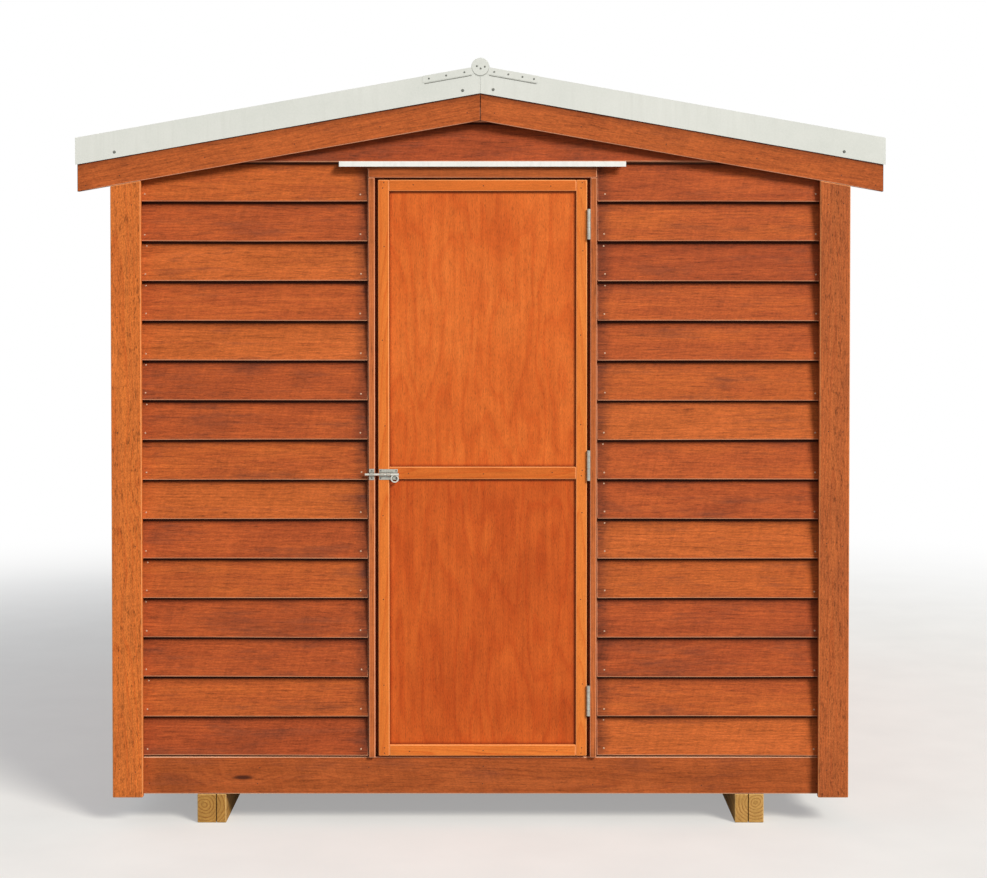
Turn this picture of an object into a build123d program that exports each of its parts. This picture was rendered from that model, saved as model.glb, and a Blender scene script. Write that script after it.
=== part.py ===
from build123d import *
import os
from math import atan2, ceil, cos, radians, sin, sqrt, tan

# A lapped weatherboard garden shed on two timber skids, with a low gable roof of
# ribbed steel and one framed ply door in its front gable wall.
# Millimetres. X runs across the shed, Y from the front wall to the back wall and
# Z up. The origin is on the ground under the middle of the shed.

# Overall sizes
shed_width = 2430  # over the faces of the side corner boards
shed_depth = 3000  # over the faces of the end corner boards
wall_frame_height = 1952  # floor to the top of the side wall plates
roof_pitch = 10  # degrees
eave_overhang = 105  # side corner board face to fascia face

# Floor
skid_size = 96
skid_spacing = 1784
skid_run_on = 18  # skid end past the wall frame's face, under the base board
joist_width = 45
joist_height = 106
joist_count = 7
floor_thickness = 19

# Wall frames
stud_width = 45
stud_depth = 70
plate_height = 45
nog_height = 1170  # middle of the row of nogs
side_stud_count = 5
back_stud_count = 6
front_bay_stud = 775  # middle of the front wall's bay studs

# Weatherboards
board_thickness = 18  # at the lower edge
board_lean = 10  # what a board's lower edge stands off the studs, on the board below
board_cover = 131
board_width = 150
first_butt = 226  # lower edge of the first board
corner_gap = 1

# Trim boards
trim_thickness = 22
corner_board_width = 100
corner_board_bottom = 92
base_board_thickness = 20
base_board_bottom = 97
joint_gap = 0.5
barge_width = 150
barge_drop = 112.5  # barge board's lower edge below the rafter top, plumb
barge_run_on = 2  # past the fascia

# Roof frame
rafter_width = 45
rafter_depth = 70
rafter_count = 6
ridge_board_thickness = 25
ridge_board_depth = 140
purlin_width = 70
purlin_height = 45
purlin_count = 3  # on each slope
ridge_purlin_place = 62  # middle of the top purlin, from the ridge
eave_purlin_inset = 60  # middle of the lowest purlin, inside the fascia face
fascia_thickness = 20

# Roof sheets and flashings
rib_pitch = 118  # about, evened out over the length of the roof
rib_height = 17
rib_foot = 42
rib_crown = 22
edge_rib_inset = 35  # middle of the first rib, from the barge board's face
sheet_margin = 3  # beyond the first rib
sheet_thickness = 0.8
sheet_drip = 9  # past the fascia face
sheet_ridge_gap = 20  # top end of a sheet from the ridge line
seat_gap = 0.2
flashing_thickness = 1
flashing_face = 88.5  # plumb height of the barge flashing's face
flashing_top_leg = 60
ridge_wing = 190  # ridge cap, from its middle to an edge
ridge_roll_radius = 30
ridge_roll_rise = 26  # roll top above the wings' meeting line
ridge_lip = 23  # what each wing turns down over the gable

# Door frame
door_centre = 7
door_opening_width = 710
door_opening_height = 1917
jamb_thickness = 21
head_thickness = 34
jamb_stand_out = 6  # jamb edge in front of the lowest board edges
stop_width = 25
stop_depth = 20
head_flashing_run_on = 95
head_flashing_lip = 17
head_flashing_reach = 13  # lip in front of the jamb edge

# Door leaf
leaf_side_gap = 11
leaf_top_gap = 7
leaf_floor_gap = 6
leaf_thickness = 34
stile_width = 36
rail_width = 37
middle_rail_width = 41
middle_rail_height = 1165
panel_thickness = 9
panel_recess = 10
leaf_stop_gap = 5

# Butt hinges
hinge_heights = [411, 1190, 1985]
hinge_height = 100
hinge_radius = 6
hinge_pin_radius = 2.5
hinge_pin_clearance = 0.3
hinge_stand_out = 5  # pin in front of the leaf's face
hinge_leaf_thickness = 1.8
hinge_leaf_width = 28
hinge_knuckles = 5
knuckle_gap = 0.4
hinge_leaf_setback = 6.5  # leaf edge behind the pin where the other leaf's knuckles are

# Pad bolt
bolt_height = 1160.5
bolt_radius = 4
bolt_clearance = 0.4
bolt_reach = 12  # bolt's tip past the left jamb
bolt_plate_thickness = 1.5
bolt_plate_length = 61
bolt_plate_height = 35
bolt_plate_inset = 3  # plate from the leaf's edge
guide_length = 12
guide_inset = 3
guide_spacing = 22
keeper_width = 18
keeper_height = 37
loop_width = 27
loop_drop = 26.5  # lowest point of the pull loop below the bolt's middle
loop_thickness = 4

# Planes of the walls, as distances from the middle of the shed
half_width = shed_width / 2
half_depth = shed_depth / 2
cladding_depth = board_thickness + board_lean
butt_face_x = half_width - trim_thickness
butt_face_y = half_depth - trim_thickness
stud_face_x = butt_face_x - cladding_depth
stud_face_y = butt_face_y - cladding_depth
stud_inner_x = stud_face_x - stud_depth
stud_inner_y = stud_face_y - stud_depth

# Levels
joist_top = skid_size + joist_height
floor_top = joist_top + floor_thickness
plate_top = floor_top + wall_frame_height

# Roof lines, as heights over the ridge line
roof_angle = radians(roof_pitch)
rise = tan(roof_angle)
rafter_bottom = plate_top + stud_inner_x * rise
rafter_top = rafter_bottom + rafter_depth / cos(roof_angle)
purlin_top = rafter_top + purlin_height / cos(roof_angle)
sheet_seat = purlin_top + seat_gap / cos(roof_angle)
sheet_top = sheet_seat + (rib_height + sheet_thickness) / cos(roof_angle)
flashing_seat = sheet_top + seat_gap / cos(roof_angle)
flashing_top = flashing_seat + flashing_thickness / cos(roof_angle)
wing_seat = flashing_top + seat_gap / cos(roof_angle)
barge_bottom = rafter_top - barge_drop
barge_top = barge_bottom + barge_width / cos(roof_angle)
fascia_face = half_width + eave_overhang
fascia_back = fascia_face - fascia_thickness
barge_end = fascia_face + barge_run_on
sheet_end = fascia_face + sheet_drip

# Doorway, in X from the middle of the shed
opening_left = door_centre - door_opening_width / 2
opening_right = door_centre + door_opening_width / 2
frame_left = opening_left - jamb_thickness
frame_right = opening_right + jamb_thickness
opening_top = floor_top + door_opening_height
head_top = opening_top + head_thickness
jamb_face_y = -(butt_face_y + jamb_stand_out)
leaf_left = opening_left + leaf_side_gap
leaf_right = opening_right - leaf_side_gap
leaf_bottom = floor_top + leaf_floor_gap
leaf_top = opening_top - leaf_top_gap
leaf_back_y = jamb_face_y + leaf_thickness
hinge_x = opening_right - leaf_side_gap / 2
hinge_y = jamb_face_y - hinge_stand_out

# The first board over the doorway
gable_course = ceil((head_top - first_butt) / board_cover)
gable_butt = first_butt + gable_course * board_cover


def roof_height(line, x):
    """Height at x of a roof line that is at height line over the ridge."""
    return line - abs(x) * rise


def evenly(low, high, count):
    """Places spread evenly from low to high."""
    return [low + (high - low) * place / (count - 1) for place in range(count)]


def add_block(low_x, high_x, low_y, high_y, low_z, high_z):
    """Add a square-cut piece of timber or sheet between these planes."""
    with BuildSketch(Plane.XY.offset(low_z)) as outline:
        with Locations(((low_x + high_x) / 2, (low_y + high_y) / 2)):
            Rectangle(high_x - low_x, high_y - low_y)
    extrude(outline.sketch, amount=high_z - low_z)


def add_across(points, low_x, high_x):
    """Add a piece of this (y, z) outline that runs across the shed."""
    with BuildSketch(Plane.YZ.offset(low_x)) as outline:
        with BuildLine():
            Polyline(points, close=True)
        make_face()
    extrude(outline.sketch, amount=high_x - low_x)


def add_along(points, low_y, high_y, mode=Mode.ADD):
    """Add a piece of this (x, z) outline that runs from front to back."""
    with BuildSketch(Plane.XZ.offset(-high_y)) as outline:
        with BuildLine():
            Polyline(points, close=True)
        make_face()
    extrude(outline.sketch, amount=high_y - low_y, mode=mode)


def roof_slab(low_x, high_x, top, bottom):
    """Outline between two roof lines, from low_x to high_x on one slope."""
    low_x, high_x = sorted((low_x, high_x))
    return [
        (low_x, roof_height(bottom, low_x)),
        (high_x, roof_height(bottom, high_x)),
        (high_x, roof_height(top, high_x)),
        (low_x, roof_height(top, low_x)),
    ]


def gable_outline(low_x, high_x, bottom, top):
    """Outline of a wall from a level up to a roof line."""
    points = [(low_x, bottom), (high_x, bottom), (high_x, roof_height(top, high_x))]
    if low_x < 0 < high_x:
        points.append((0, top))
    return points + [(low_x, roof_height(top, low_x))]


def lap_outline(bottom, top):
    """Section of lapped boards, as (distance off the studs, height) points.

    Each board leans from its lower edge, on the board below, back to the studs.
    """
    outer_slope = board_thickness / board_cover
    inner_slope = board_lean / board_width
    butts = [bottom + board_cover * course for course in range(ceil((top - bottom) / board_cover))]
    outside = []
    inside = [(board_lean, bottom)]
    for butt in butts:
        cover_top = min(butt + board_cover, top)
        outside.append((cladding_depth, butt))
        outside.append((cladding_depth - (cover_top - butt) * outer_slope, cover_top))
    for butt in butts:
        board_top = min(butt + board_width, top)
        inside.append((board_lean - (board_top - butt) * inner_slope, board_top))
        if board_top == top:
            break
        inside.append((board_lean - (board_width - board_cover) * inner_slope, board_top))
    return outside + inside[::-1]


def save(piece, name):
    piece.part.label = name
    export_step(piece.part, f"parts/{name}.step")


os.makedirs("parts", exist_ok=True)

# Skids: two square posts that run from front to back on the ground
with BuildPart() as skids:
    for middle in (-skid_spacing / 2, skid_spacing / 2):
        add_block(
            middle - skid_size / 2,
            middle + skid_size / 2,
            -stud_face_y - skid_run_on,
            stud_face_y + skid_run_on,
            0,
            skid_size,
        )
save(skids, "skids")

# Floor joists, across the skids
with BuildPart() as floor_joists:
    for middle in evenly(-stud_face_y + joist_width / 2, stud_face_y - joist_width / 2, joist_count):
        add_block(
            -stud_face_x,
            stud_face_x,
            middle - joist_width / 2,
            middle + joist_width / 2,
            skid_size,
            joist_top,
        )
save(floor_joists, "floor_joists")

# Floor sheet
with BuildPart() as floor_sheet:
    add_block(-stud_face_x, stud_face_x, -stud_face_y, stud_face_y, joist_top, floor_top)
save(floor_sheet, "floor_sheet")

# End wall frames: bottom plates on the floor, studs up to the end rafters and nogs
sill_top = floor_top + plate_height
nog_bottom = nog_height - plate_height / 2
nog_top = nog_height + plate_height / 2
corner_stud_x = stud_face_x - stud_width / 2
door_studs = [frame_left - stud_width / 2, frame_right + stud_width / 2]
lintel_top = head_top + plate_height
ridge_board_top = roof_height(rafter_top, ridge_board_thickness / 2)
ridge_board_bottom = ridge_board_top - ridge_board_depth


def add_end_stud(middle, low_y, high_y):
    """Add a stud that ends under the rafter, or level with the side plates at a corner."""
    low_x = middle - stud_width / 2
    high_x = middle + stud_width / 2
    outline = gable_outline(low_x, high_x, sill_top, rafter_bottom)
    if abs(middle) + stud_width / 2 > stud_inner_x:
        outline = [(low_x, sill_top), (high_x, sill_top), (high_x, plate_top), (low_x, plate_top)]
    add_along(outline, low_y, high_y)


def add_nogs(studs, low_y, high_y):
    """Add the short rails between neighbouring studs of an end wall."""
    for left, right in zip(studs, studs[1:]):
        add_block(
            left + stud_width / 2,
            right - stud_width / 2,
            low_y,
            high_y,
            nog_bottom,
            nog_top,
        )


front_studs_left = [-corner_stud_x, -front_bay_stud, door_studs[0]]
front_studs_right = [door_studs[1], front_bay_stud, corner_stud_x]

with BuildPart() as front_wall_studs:
    for middle in front_studs_left + front_studs_right:
        add_end_stud(middle, -stud_face_y, -stud_inner_y)
    add_block(
        -stud_width / 2,
        stud_width / 2,
        -stud_face_y,
        -stud_inner_y,
        lintel_top,
        ridge_board_bottom,
    )
save(front_wall_studs, "front_wall_studs")

with BuildPart() as front_wall_plates:
    add_block(-stud_face_x, frame_left, -stud_face_y, -stud_inner_y, floor_top, sill_top)
    add_block(frame_right, stud_face_x, -stud_face_y, -stud_inner_y, floor_top, sill_top)
    add_block(frame_left, frame_right, -stud_face_y, -stud_inner_y, head_top, lintel_top)
    add_nogs(front_studs_left, -stud_face_y, -stud_inner_y)
    add_nogs(front_studs_right, -stud_face_y, -stud_inner_y)
save(front_wall_plates, "front_wall_plates")

back_studs = evenly(-corner_stud_x, corner_stud_x, back_stud_count)

with BuildPart() as back_wall_studs:
    for middle in back_studs:
        add_end_stud(middle, stud_inner_y, stud_face_y)
save(back_wall_studs, "back_wall_studs")

with BuildPart() as back_wall_plates:
    add_block(-stud_face_x, stud_face_x, stud_inner_y, stud_face_y, floor_top, sill_top)
    add_nogs(back_studs, stud_inner_y, stud_face_y)
save(back_wall_plates, "back_wall_plates")

# Side wall frames: bottom and top plates, studs and nogs
side_studs = evenly(-stud_inner_y + stud_width / 2, stud_inner_y - stud_width / 2, side_stud_count)

for side, name in ((-1, "left"), (1, "right")):
    low_x, high_x = sorted((side * stud_inner_x, side * stud_face_x))

    with BuildPart() as side_wall_studs:
        for middle in side_studs:
            add_block(
                low_x,
                high_x,
                middle - stud_width / 2,
                middle + stud_width / 2,
                sill_top,
                plate_top - plate_height,
            )
    save(side_wall_studs, f"{name}_wall_studs")

    with BuildPart() as side_wall_plates:
        add_block(low_x, high_x, -stud_inner_y, stud_inner_y, floor_top, sill_top)
        add_block(low_x, high_x, -stud_inner_y, stud_inner_y, plate_top - plate_height, plate_top)
        for front, back in zip(side_studs, side_studs[1:]):
            add_block(
                low_x,
                high_x,
                front + stud_width / 2,
                back - stud_width / 2,
                nog_bottom,
                nog_top,
            )
    save(side_wall_plates, f"{name}_wall_plates")

# Roof frame: rafters notched over the side plates, a ridge board and purlins
with BuildPart() as rafters:
    ridge_face = ridge_board_thickness / 2
    for middle in evenly(-stud_face_y + rafter_width / 2, stud_face_y - rafter_width / 2, rafter_count):
        for side in (-1, 1):
            rafter = [
                (side * ridge_face, roof_height(rafter_bottom, ridge_face)),
                (side * stud_inner_x, plate_top),
                (side * stud_face_x, plate_top),
                (side * stud_face_x, roof_height(rafter_bottom, stud_face_x)),
                (side * fascia_back, roof_height(rafter_bottom, fascia_back)),
                (side * fascia_back, roof_height(rafter_top, fascia_back)),
                (side * ridge_face, roof_height(rafter_top, ridge_face)),
            ]
            add_along(rafter, middle - rafter_width / 2, middle + rafter_width / 2)
save(rafters, "rafters")

with BuildPart() as ridge_board:
    add_block(
        -ridge_board_thickness / 2,
        ridge_board_thickness / 2,
        -stud_face_y,
        stud_face_y,
        ridge_board_bottom,
        ridge_board_top,
    )
save(ridge_board, "ridge_board")

with BuildPart() as purlins:
    purlin_middle = (rafter_top + purlin_top) / 2
    for place in evenly(ridge_purlin_place, fascia_face - eave_purlin_inset, purlin_count):
        for side in (-1, 1):
            with BuildSketch(Plane.XZ):
                with Locations((side * place, roof_height(purlin_middle, place))):
                    Rectangle(purlin_width, purlin_height, rotation=-side * roof_pitch)
    extrude(amount=butt_face_y, both=True)
save(purlins, "purlins")

with BuildPart() as fascia_boards:
    for side in (-1, 1):
        low_x, high_x = sorted((side * fascia_back, side * fascia_face))
        add_block(
            low_x,
            high_x,
            -butt_face_y,
            butt_face_y,
            roof_height(rafter_bottom, fascia_back),
            roof_height(rafter_top, fascia_face),
        )
save(fascia_boards, "fascia_boards")

# Weatherboards: the front wall in three pieces round the doorway, then the other walls
gable_top = rafter_top - joint_gap
panel_top = gable_butt - joint_gap


def lap_wall(bottom, top, face):
    """Outline of lapped boards off the wall frame's face, as (across, height) points."""
    side = 1 if face > 0 else -1
    return [(face + side * distance, height) for distance, height in lap_outline(bottom, top)]


front_pieces = {
    "cladding_front_left": (-butt_face_x, frame_left - corner_gap, first_butt, panel_top),
    "cladding_front_right": (frame_right + corner_gap, butt_face_x, first_butt, panel_top),
    "cladding_front_gable": (-butt_face_x, butt_face_x, gable_butt, gable_top),
}

for name, (low_x, high_x, bottom, top) in front_pieces.items():
    with BuildPart() as front_cladding:
        add_across(lap_wall(bottom, top, -stud_face_y), low_x, high_x)
        trim = gable_outline(low_x, high_x, bottom, gable_top)
        add_along(trim, -half_depth, -stud_inner_y, mode=Mode.INTERSECT)
    save(front_cladding, name)

with BuildPart() as cladding_back:
    add_across(lap_wall(first_butt, gable_top, stud_face_y), -butt_face_x, butt_face_x)
    trim = gable_outline(-butt_face_x, butt_face_x, first_butt, gable_top)
    add_along(trim, stud_inner_y, half_depth, mode=Mode.INTERSECT)
save(cladding_back, "cladding_back")

side_cladding_top = roof_height(rafter_bottom, butt_face_x) - joint_gap
side_cladding_end = stud_face_y - corner_gap

for side, name in ((-1, "left"), (1, "right")):
    with BuildPart() as side_cladding:
        outline = lap_wall(first_butt, side_cladding_top, side * stud_face_x)
        add_along(outline, -side_cladding_end, side_cladding_end)
    save(side_cladding, f"cladding_{name}")

# Base boards, over the edge of the floor
base_face_x = stud_face_x + base_board_thickness
base_face_y = stud_face_y + base_board_thickness

with BuildPart() as base_board_front:
    add_block(
        -base_face_x,
        base_face_x,
        -base_face_y,
        -stud_face_y,
        base_board_bottom,
        floor_top,
    )
save(base_board_front, "base_board_front")

with BuildPart() as base_boards:
    base_end = stud_face_y - joint_gap
    add_block(-base_face_x, base_face_x, stud_face_y, base_face_y, base_board_bottom, floor_top)
    add_block(-base_face_x, -stud_face_x, -base_end, base_end, base_board_bottom, floor_top)
    add_block(stud_face_x, base_face_x, -base_end, base_end, base_board_bottom, floor_top)
save(base_boards, "base_boards")

# Corner boards: a wide one on each end of a gable wall, with one behind it on the side
corner_inner_x = half_width - corner_board_width
side_board_back = butt_face_y - corner_board_width
side_board_top = roof_height(rafter_bottom, half_width) - joint_gap

for end, name in ((-1, "front"), (1, "back")):
    low_y, high_y = sorted((end * butt_face_y, end * half_depth))
    with BuildPart() as corner_boards:
        for side in (-1, 1):
            low_x, high_x = sorted((side * corner_inner_x, side * half_width))
            outline = gable_outline(low_x, high_x, corner_board_bottom, barge_bottom - joint_gap)
            add_along(outline, low_y, high_y)
    save(corner_boards, f"corner_boards_{name}")

with BuildPart() as corner_boards_sides:
    for side in (-1, 1):
        low_x, high_x = sorted((side * butt_face_x, side * half_width))
        for end in (-1, 1):
            low_y, high_y = sorted((end * side_board_back, end * butt_face_y))
            add_block(low_x, high_x, low_y, high_y, corner_board_bottom, side_board_top)
save(corner_boards_sides, "corner_boards_sides")

# Barge boards, mitred at the ridge
for end, name in ((-1, "front"), (1, "back")):
    low_y, high_y = sorted((end * butt_face_y, end * half_depth))
    with BuildPart() as barge_boards:
        for side in (-1, 1):
            outline = roof_slab(side * joint_gap / 2, side * barge_end, barge_top, barge_bottom)
            add_along(outline, low_y, high_y)
    save(barge_boards, f"barge_boards_{name}")

# Barge flashings: folded angles over the barge boards and the ends of the sheets
with BuildPart() as barge_flashings:
    for end in (-1, 1):
        face_y = sorted((end * half_depth, end * (half_depth + flashing_thickness)))
        leg_y = sorted((end * (half_depth + flashing_thickness), end * (half_depth - flashing_top_leg)))
        for side in (-1, 1):
            edges = (side * joint_gap / 2, side * sheet_end)
            add_along(roof_slab(*edges, flashing_top, flashing_top - flashing_face), *face_y)
            add_along(roof_slab(*edges, flashing_top, flashing_seat), *leg_y)
save(barge_flashings, "barge_flashings")

# Roof sheets: flat pans between ribs that run down the slope, with a rib along each edge
edge_rib = half_depth - edge_rib_inset
sheet_edge = edge_rib + rib_foot / 2 + sheet_margin
rib_middles = evenly(-edge_rib, edge_rib, 1 + round(2 * edge_rib / rib_pitch))
rib_slope = atan2(rib_height, (rib_foot - rib_crown) / 2)


def rib_line(lift):
    """Points along the sheet's section, at a distance of lift over its middle line."""
    half_foot = rib_foot / 2 + lift * tan(rib_slope / 2)
    half_crown = rib_crown / 2 + lift * tan(rib_slope / 2)
    points = [(-sheet_edge, lift)]
    for middle in rib_middles:
        points.append((middle - half_foot, lift))
        points.append((middle - half_crown, rib_height + lift))
        points.append((middle + half_crown, rib_height + lift))
        points.append((middle + half_foot, lift))
    return points + [(sheet_edge, lift)]


for side, name in ((-1, "left"), (1, "right")):
    down_slope = Vector(side * cos(roof_angle), 0, -sin(roof_angle))
    sheet_line = sheet_seat + sheet_thickness / 2 / cos(roof_angle)
    top_end = Vector(0, 0, sheet_line) + down_slope * (sheet_ridge_gap / cos(roof_angle))
    sheet_plane = Plane(origin=top_end, x_dir=(0, side, 0), z_dir=down_slope)

    with BuildPart() as roof_sheet:
        with BuildSketch(sheet_plane):
            with BuildLine():
                upper = rib_line(sheet_thickness / 2)
                lower = rib_line(-sheet_thickness / 2)
                Polyline(upper + lower[::-1], close=True)
            make_face()
        extrude(amount=(sheet_end - sheet_ridge_gap) / cos(roof_angle))
    save(roof_sheet, f"roof_sheet_{name}")

# Ridge cap: two wings and a round roll, closed by a disc and turned down at each gable
wing_top = wing_seat + sheet_thickness / cos(roof_angle)
roll_middle = wing_top + ridge_roll_rise - ridge_roll_radius


def roll_foot(radius, line):
    """The point where a circle about the roll's middle meets a wing's roof line."""
    drop = line - roll_middle
    across = drop * rise + sqrt((drop * rise) ** 2 - (1 + rise**2) * (drop**2 - radius**2))
    x = across / (1 + rise**2)
    return (x, roof_height(line, x))


def mirrored(point):
    return (-point[0], point[1])


roll_inner_radius = ridge_roll_radius - sheet_thickness
outer_foot = roll_foot(ridge_roll_radius, wing_top)
inner_foot = roll_foot(roll_inner_radius, wing_seat)
outer_edge = (ridge_wing, roof_height(wing_top, ridge_wing))
inner_edge = (ridge_wing, roof_height(wing_seat, ridge_wing))
lip_front = half_depth + flashing_thickness

with BuildPart() as ridge_cap:
    with BuildSketch(Plane.XZ):
        with BuildLine():
            for edge, foot, radius in (
                (outer_edge, outer_foot, ridge_roll_radius),
                (inner_edge, inner_foot, roll_inner_radius),
            ):
                Line(mirrored(edge), mirrored(foot))
                ThreePointArc(mirrored(foot), (0, roll_middle + radius), foot)
                Line(foot, edge)
            Line(inner_edge, outer_edge)
            Line(mirrored(inner_edge), mirrored(outer_edge))
        make_face()
    extrude(amount=lip_front, both=True)
    for end in (-1, 1):
        lip_y = sorted((end * lip_front, end * (lip_front + sheet_thickness)))
        for side in (-1, 1):
            add_along(roof_slab(0, side * ridge_wing, wing_top, wing_top - ridge_lip), *lip_y)
        with BuildSketch(Plane.XZ.offset(-lip_y[1])):
            with Locations((0, roll_middle)):
                Circle(ridge_roll_radius)
        extrude(amount=sheet_thickness)
save(ridge_cap, "ridge_cap")

# Door head flashing: a folded strip under the first board over the doorway
with BuildPart() as door_head_flashing:
    flashing_left = frame_left - head_flashing_run_on
    flashing_right = frame_right + head_flashing_run_on
    strip_top = gable_butt - seat_gap
    strip_bottom = strip_top - flashing_thickness
    strip_front = jamb_face_y - head_flashing_reach
    strip_back = -(stud_face_y + board_lean + joint_gap)
    outline = [
        (strip_back, strip_top),
        (strip_front, strip_top),
        (strip_front, strip_top - head_flashing_lip),
        (strip_front + flashing_thickness, strip_top - head_flashing_lip),
        (strip_front + flashing_thickness, strip_bottom),
        (strip_back, strip_bottom),
    ]
    add_across(outline, flashing_left, flashing_right)
save(door_head_flashing, "door_head_flashing")

# Door frame: two jambs, a head over both and the stops behind the leaf
with BuildPart() as door_jamb_left:
    add_block(frame_left, opening_left, jamb_face_y, -stud_inner_y, floor_top, opening_top)
save(door_jamb_left, "door_jamb_left")

with BuildPart() as door_jamb_right:
    add_block(opening_right, frame_right, jamb_face_y, -stud_inner_y, floor_top, opening_top)
save(door_jamb_right, "door_jamb_right")

with BuildPart() as door_head:
    add_block(frame_left, frame_right, jamb_face_y, -stud_inner_y, opening_top, head_top)
save(door_head, "door_head")

with BuildPart() as door_stops:
    stop_front = leaf_back_y + leaf_stop_gap
    stop_back = stop_front + stop_depth
    stop_left = opening_left + stop_width
    stop_right = opening_right - stop_width
    add_block(opening_left, stop_left, stop_front, stop_back, floor_top, opening_top)
    add_block(stop_right, opening_right, stop_front, stop_back, floor_top, opening_top)
    add_block(
        stop_left + joint_gap,
        stop_right - joint_gap,
        stop_front,
        stop_back,
        opening_top - stop_width,
        opening_top,
    )
save(door_stops, "door_stops")

# Door leaf: two stiles, three rails and a sheet of ply in each opening between them
panel_left = leaf_left + stile_width
panel_right = leaf_right - stile_width
rail_spans = [
    (leaf_bottom, leaf_bottom + rail_width),
    (middle_rail_height - middle_rail_width / 2, middle_rail_height + middle_rail_width / 2),
    (leaf_top - rail_width, leaf_top),
]

with BuildPart() as door_stiles:
    add_block(leaf_left, panel_left, jamb_face_y, leaf_back_y, leaf_bottom, leaf_top)
    add_block(panel_right, leaf_right, jamb_face_y, leaf_back_y, leaf_bottom, leaf_top)
save(door_stiles, "door_stiles")

with BuildPart() as door_rails:
    for bottom, top in rail_spans:
        add_block(panel_left, panel_right, jamb_face_y, leaf_back_y, bottom, top)
save(door_rails, "door_rails")

with BuildPart() as door_panels:
    panel_front = jamb_face_y + panel_recess
    for below, above in zip(rail_spans, rail_spans[1:]):
        add_block(
            panel_left,
            panel_right,
            panel_front,
            panel_front + panel_thickness,
            below[1],
            above[0],
        )
save(door_panels, "door_panels")

# Butt hinges: the pin stays in the frame leaf's knuckles, and the door leaf turns on it
knuckle_height = hinge_height / hinge_knuckles
hinge_leaf_front = hinge_y + hinge_leaf_setback
hinge_leaf_back = hinge_leaf_front + hinge_leaf_width


def add_knuckles(first, face_x, thickness, bore=0):
    """Add every other knuckle of the three hinges, from first up, with its tab to the leaf."""
    low_x, high_x = sorted((face_x, face_x + thickness))
    for middle in hinge_heights:
        for knuckle in range(first, hinge_knuckles, 2):
            bottom = middle - hinge_height / 2 + knuckle * knuckle_height + knuckle_gap / 2
            top = bottom + knuckle_height - knuckle_gap
            add_block(low_x, high_x, hinge_y, hinge_leaf_front, bottom, top)
            with BuildSketch(Plane.XY.offset(bottom)) as ring:
                with Locations((hinge_x, hinge_y)):
                    Circle(hinge_radius)
            extrude(ring.sketch, amount=top - bottom)
        if bore:
            with BuildSketch(Plane.XY.offset(middle - hinge_height / 2)) as hole:
                with Locations((hinge_x, hinge_y)):
                    Circle(bore)
            extrude(hole.sketch, amount=hinge_height, mode=Mode.SUBTRACT)
        low_z = middle - hinge_height / 2
        add_block(low_x, high_x, hinge_leaf_front, hinge_leaf_back, low_z, low_z + hinge_height)


with BuildPart() as hinge_leaves_frame:
    add_knuckles(0, opening_right, -hinge_leaf_thickness)
    for middle in hinge_heights:
        with BuildSketch(Plane.XY.offset(middle - hinge_height / 2 + knuckle_gap / 2)):
            with Locations((hinge_x, hinge_y)):
                Circle(hinge_pin_radius)
        extrude(amount=hinge_height - knuckle_gap)
save(hinge_leaves_frame, "hinge_leaves_frame")

with BuildPart() as hinge_leaves_door:
    add_knuckles(1, leaf_right, hinge_leaf_thickness, hinge_pin_radius + hinge_pin_clearance)
save(hinge_leaves_door, "hinge_leaves_door")

# Pad bolt: a plate with two guides on the leaf, a keeper on the left jamb, and the rod
# with its pull loop
plate_left = leaf_left + bolt_plate_inset
plate_right = plate_left + bolt_plate_length
plate_front = jamb_face_y - bolt_plate_thickness
bolt_bore = bolt_radius + bolt_clearance
bolt_y = plate_front - bolt_clearance - bolt_radius
guide_radius = bolt_bore + bolt_plate_thickness
bolt_tip = frame_left - bolt_reach
bolt_end = plate_right + bolt_radius


def add_guide(low_x, length):
    """Add a strap bent round the rod, with its legs down to the plate."""
    with BuildSketch(Plane.YZ.offset(low_x)) as strap:
        with Locations((bolt_y, bolt_height)):
            Circle(guide_radius)
        with Locations(((bolt_y + plate_front) / 2, bolt_height)):
            Rectangle(plate_front - bolt_y, 2 * guide_radius)
        with Locations((bolt_y + guide_radius, bolt_height)):
            Rectangle(2 * (bolt_y + guide_radius - plate_front), 2 * guide_radius, mode=Mode.SUBTRACT)
        with Locations((bolt_y, bolt_height)):
            Circle(bolt_bore, mode=Mode.SUBTRACT)
    extrude(strap.sketch, amount=length)


with BuildPart() as bolt_base:
    add_block(
        plate_left,
        plate_right,
        plate_front,
        jamb_face_y,
        bolt_height - bolt_plate_height / 2,
        bolt_height + bolt_plate_height / 2,
    )
    for place in (guide_inset, guide_inset + guide_spacing):
        add_guide(plate_left + place, guide_length)
save(bolt_base, "bolt_base")

with BuildPart() as bolt_keeper:
    keeper_middle = (frame_left + opening_left) / 2
    add_block(
        keeper_middle - keeper_width / 2,
        keeper_middle + keeper_width / 2,
        plate_front,
        jamb_face_y,
        bolt_height - keeper_height / 2,
        bolt_height + keeper_height / 2,
    )
    add_guide(keeper_middle - guide_length / 2, guide_length)
save(bolt_keeper, "bolt_keeper")

with BuildPart() as bolt_rod:
    with BuildSketch(Plane.YZ.offset(bolt_tip)):
        with Locations((bolt_y, bolt_height)):
            Circle(bolt_radius)
    extrude(amount=bolt_end - bolt_tip)
    loop_middle = bolt_end - loop_width / 2
    loop_radius = loop_width / 2
    with BuildSketch(Plane.XZ.offset(-bolt_y - loop_thickness / 2)):
        with Locations((loop_middle, bolt_height)):
            Rectangle(loop_width, 2 * bolt_radius)
        with Locations((loop_middle, bolt_height - loop_drop + loop_radius)):
            Circle(loop_radius)
            Circle(loop_radius - loop_thickness, mode=Mode.SUBTRACT)
    extrude(amount=loop_thickness)
save(bolt_rod, "bolt_rod")
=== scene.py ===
# Garden shed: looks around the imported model. Metres throughout, the door faces -Y.
import math
import random

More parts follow.
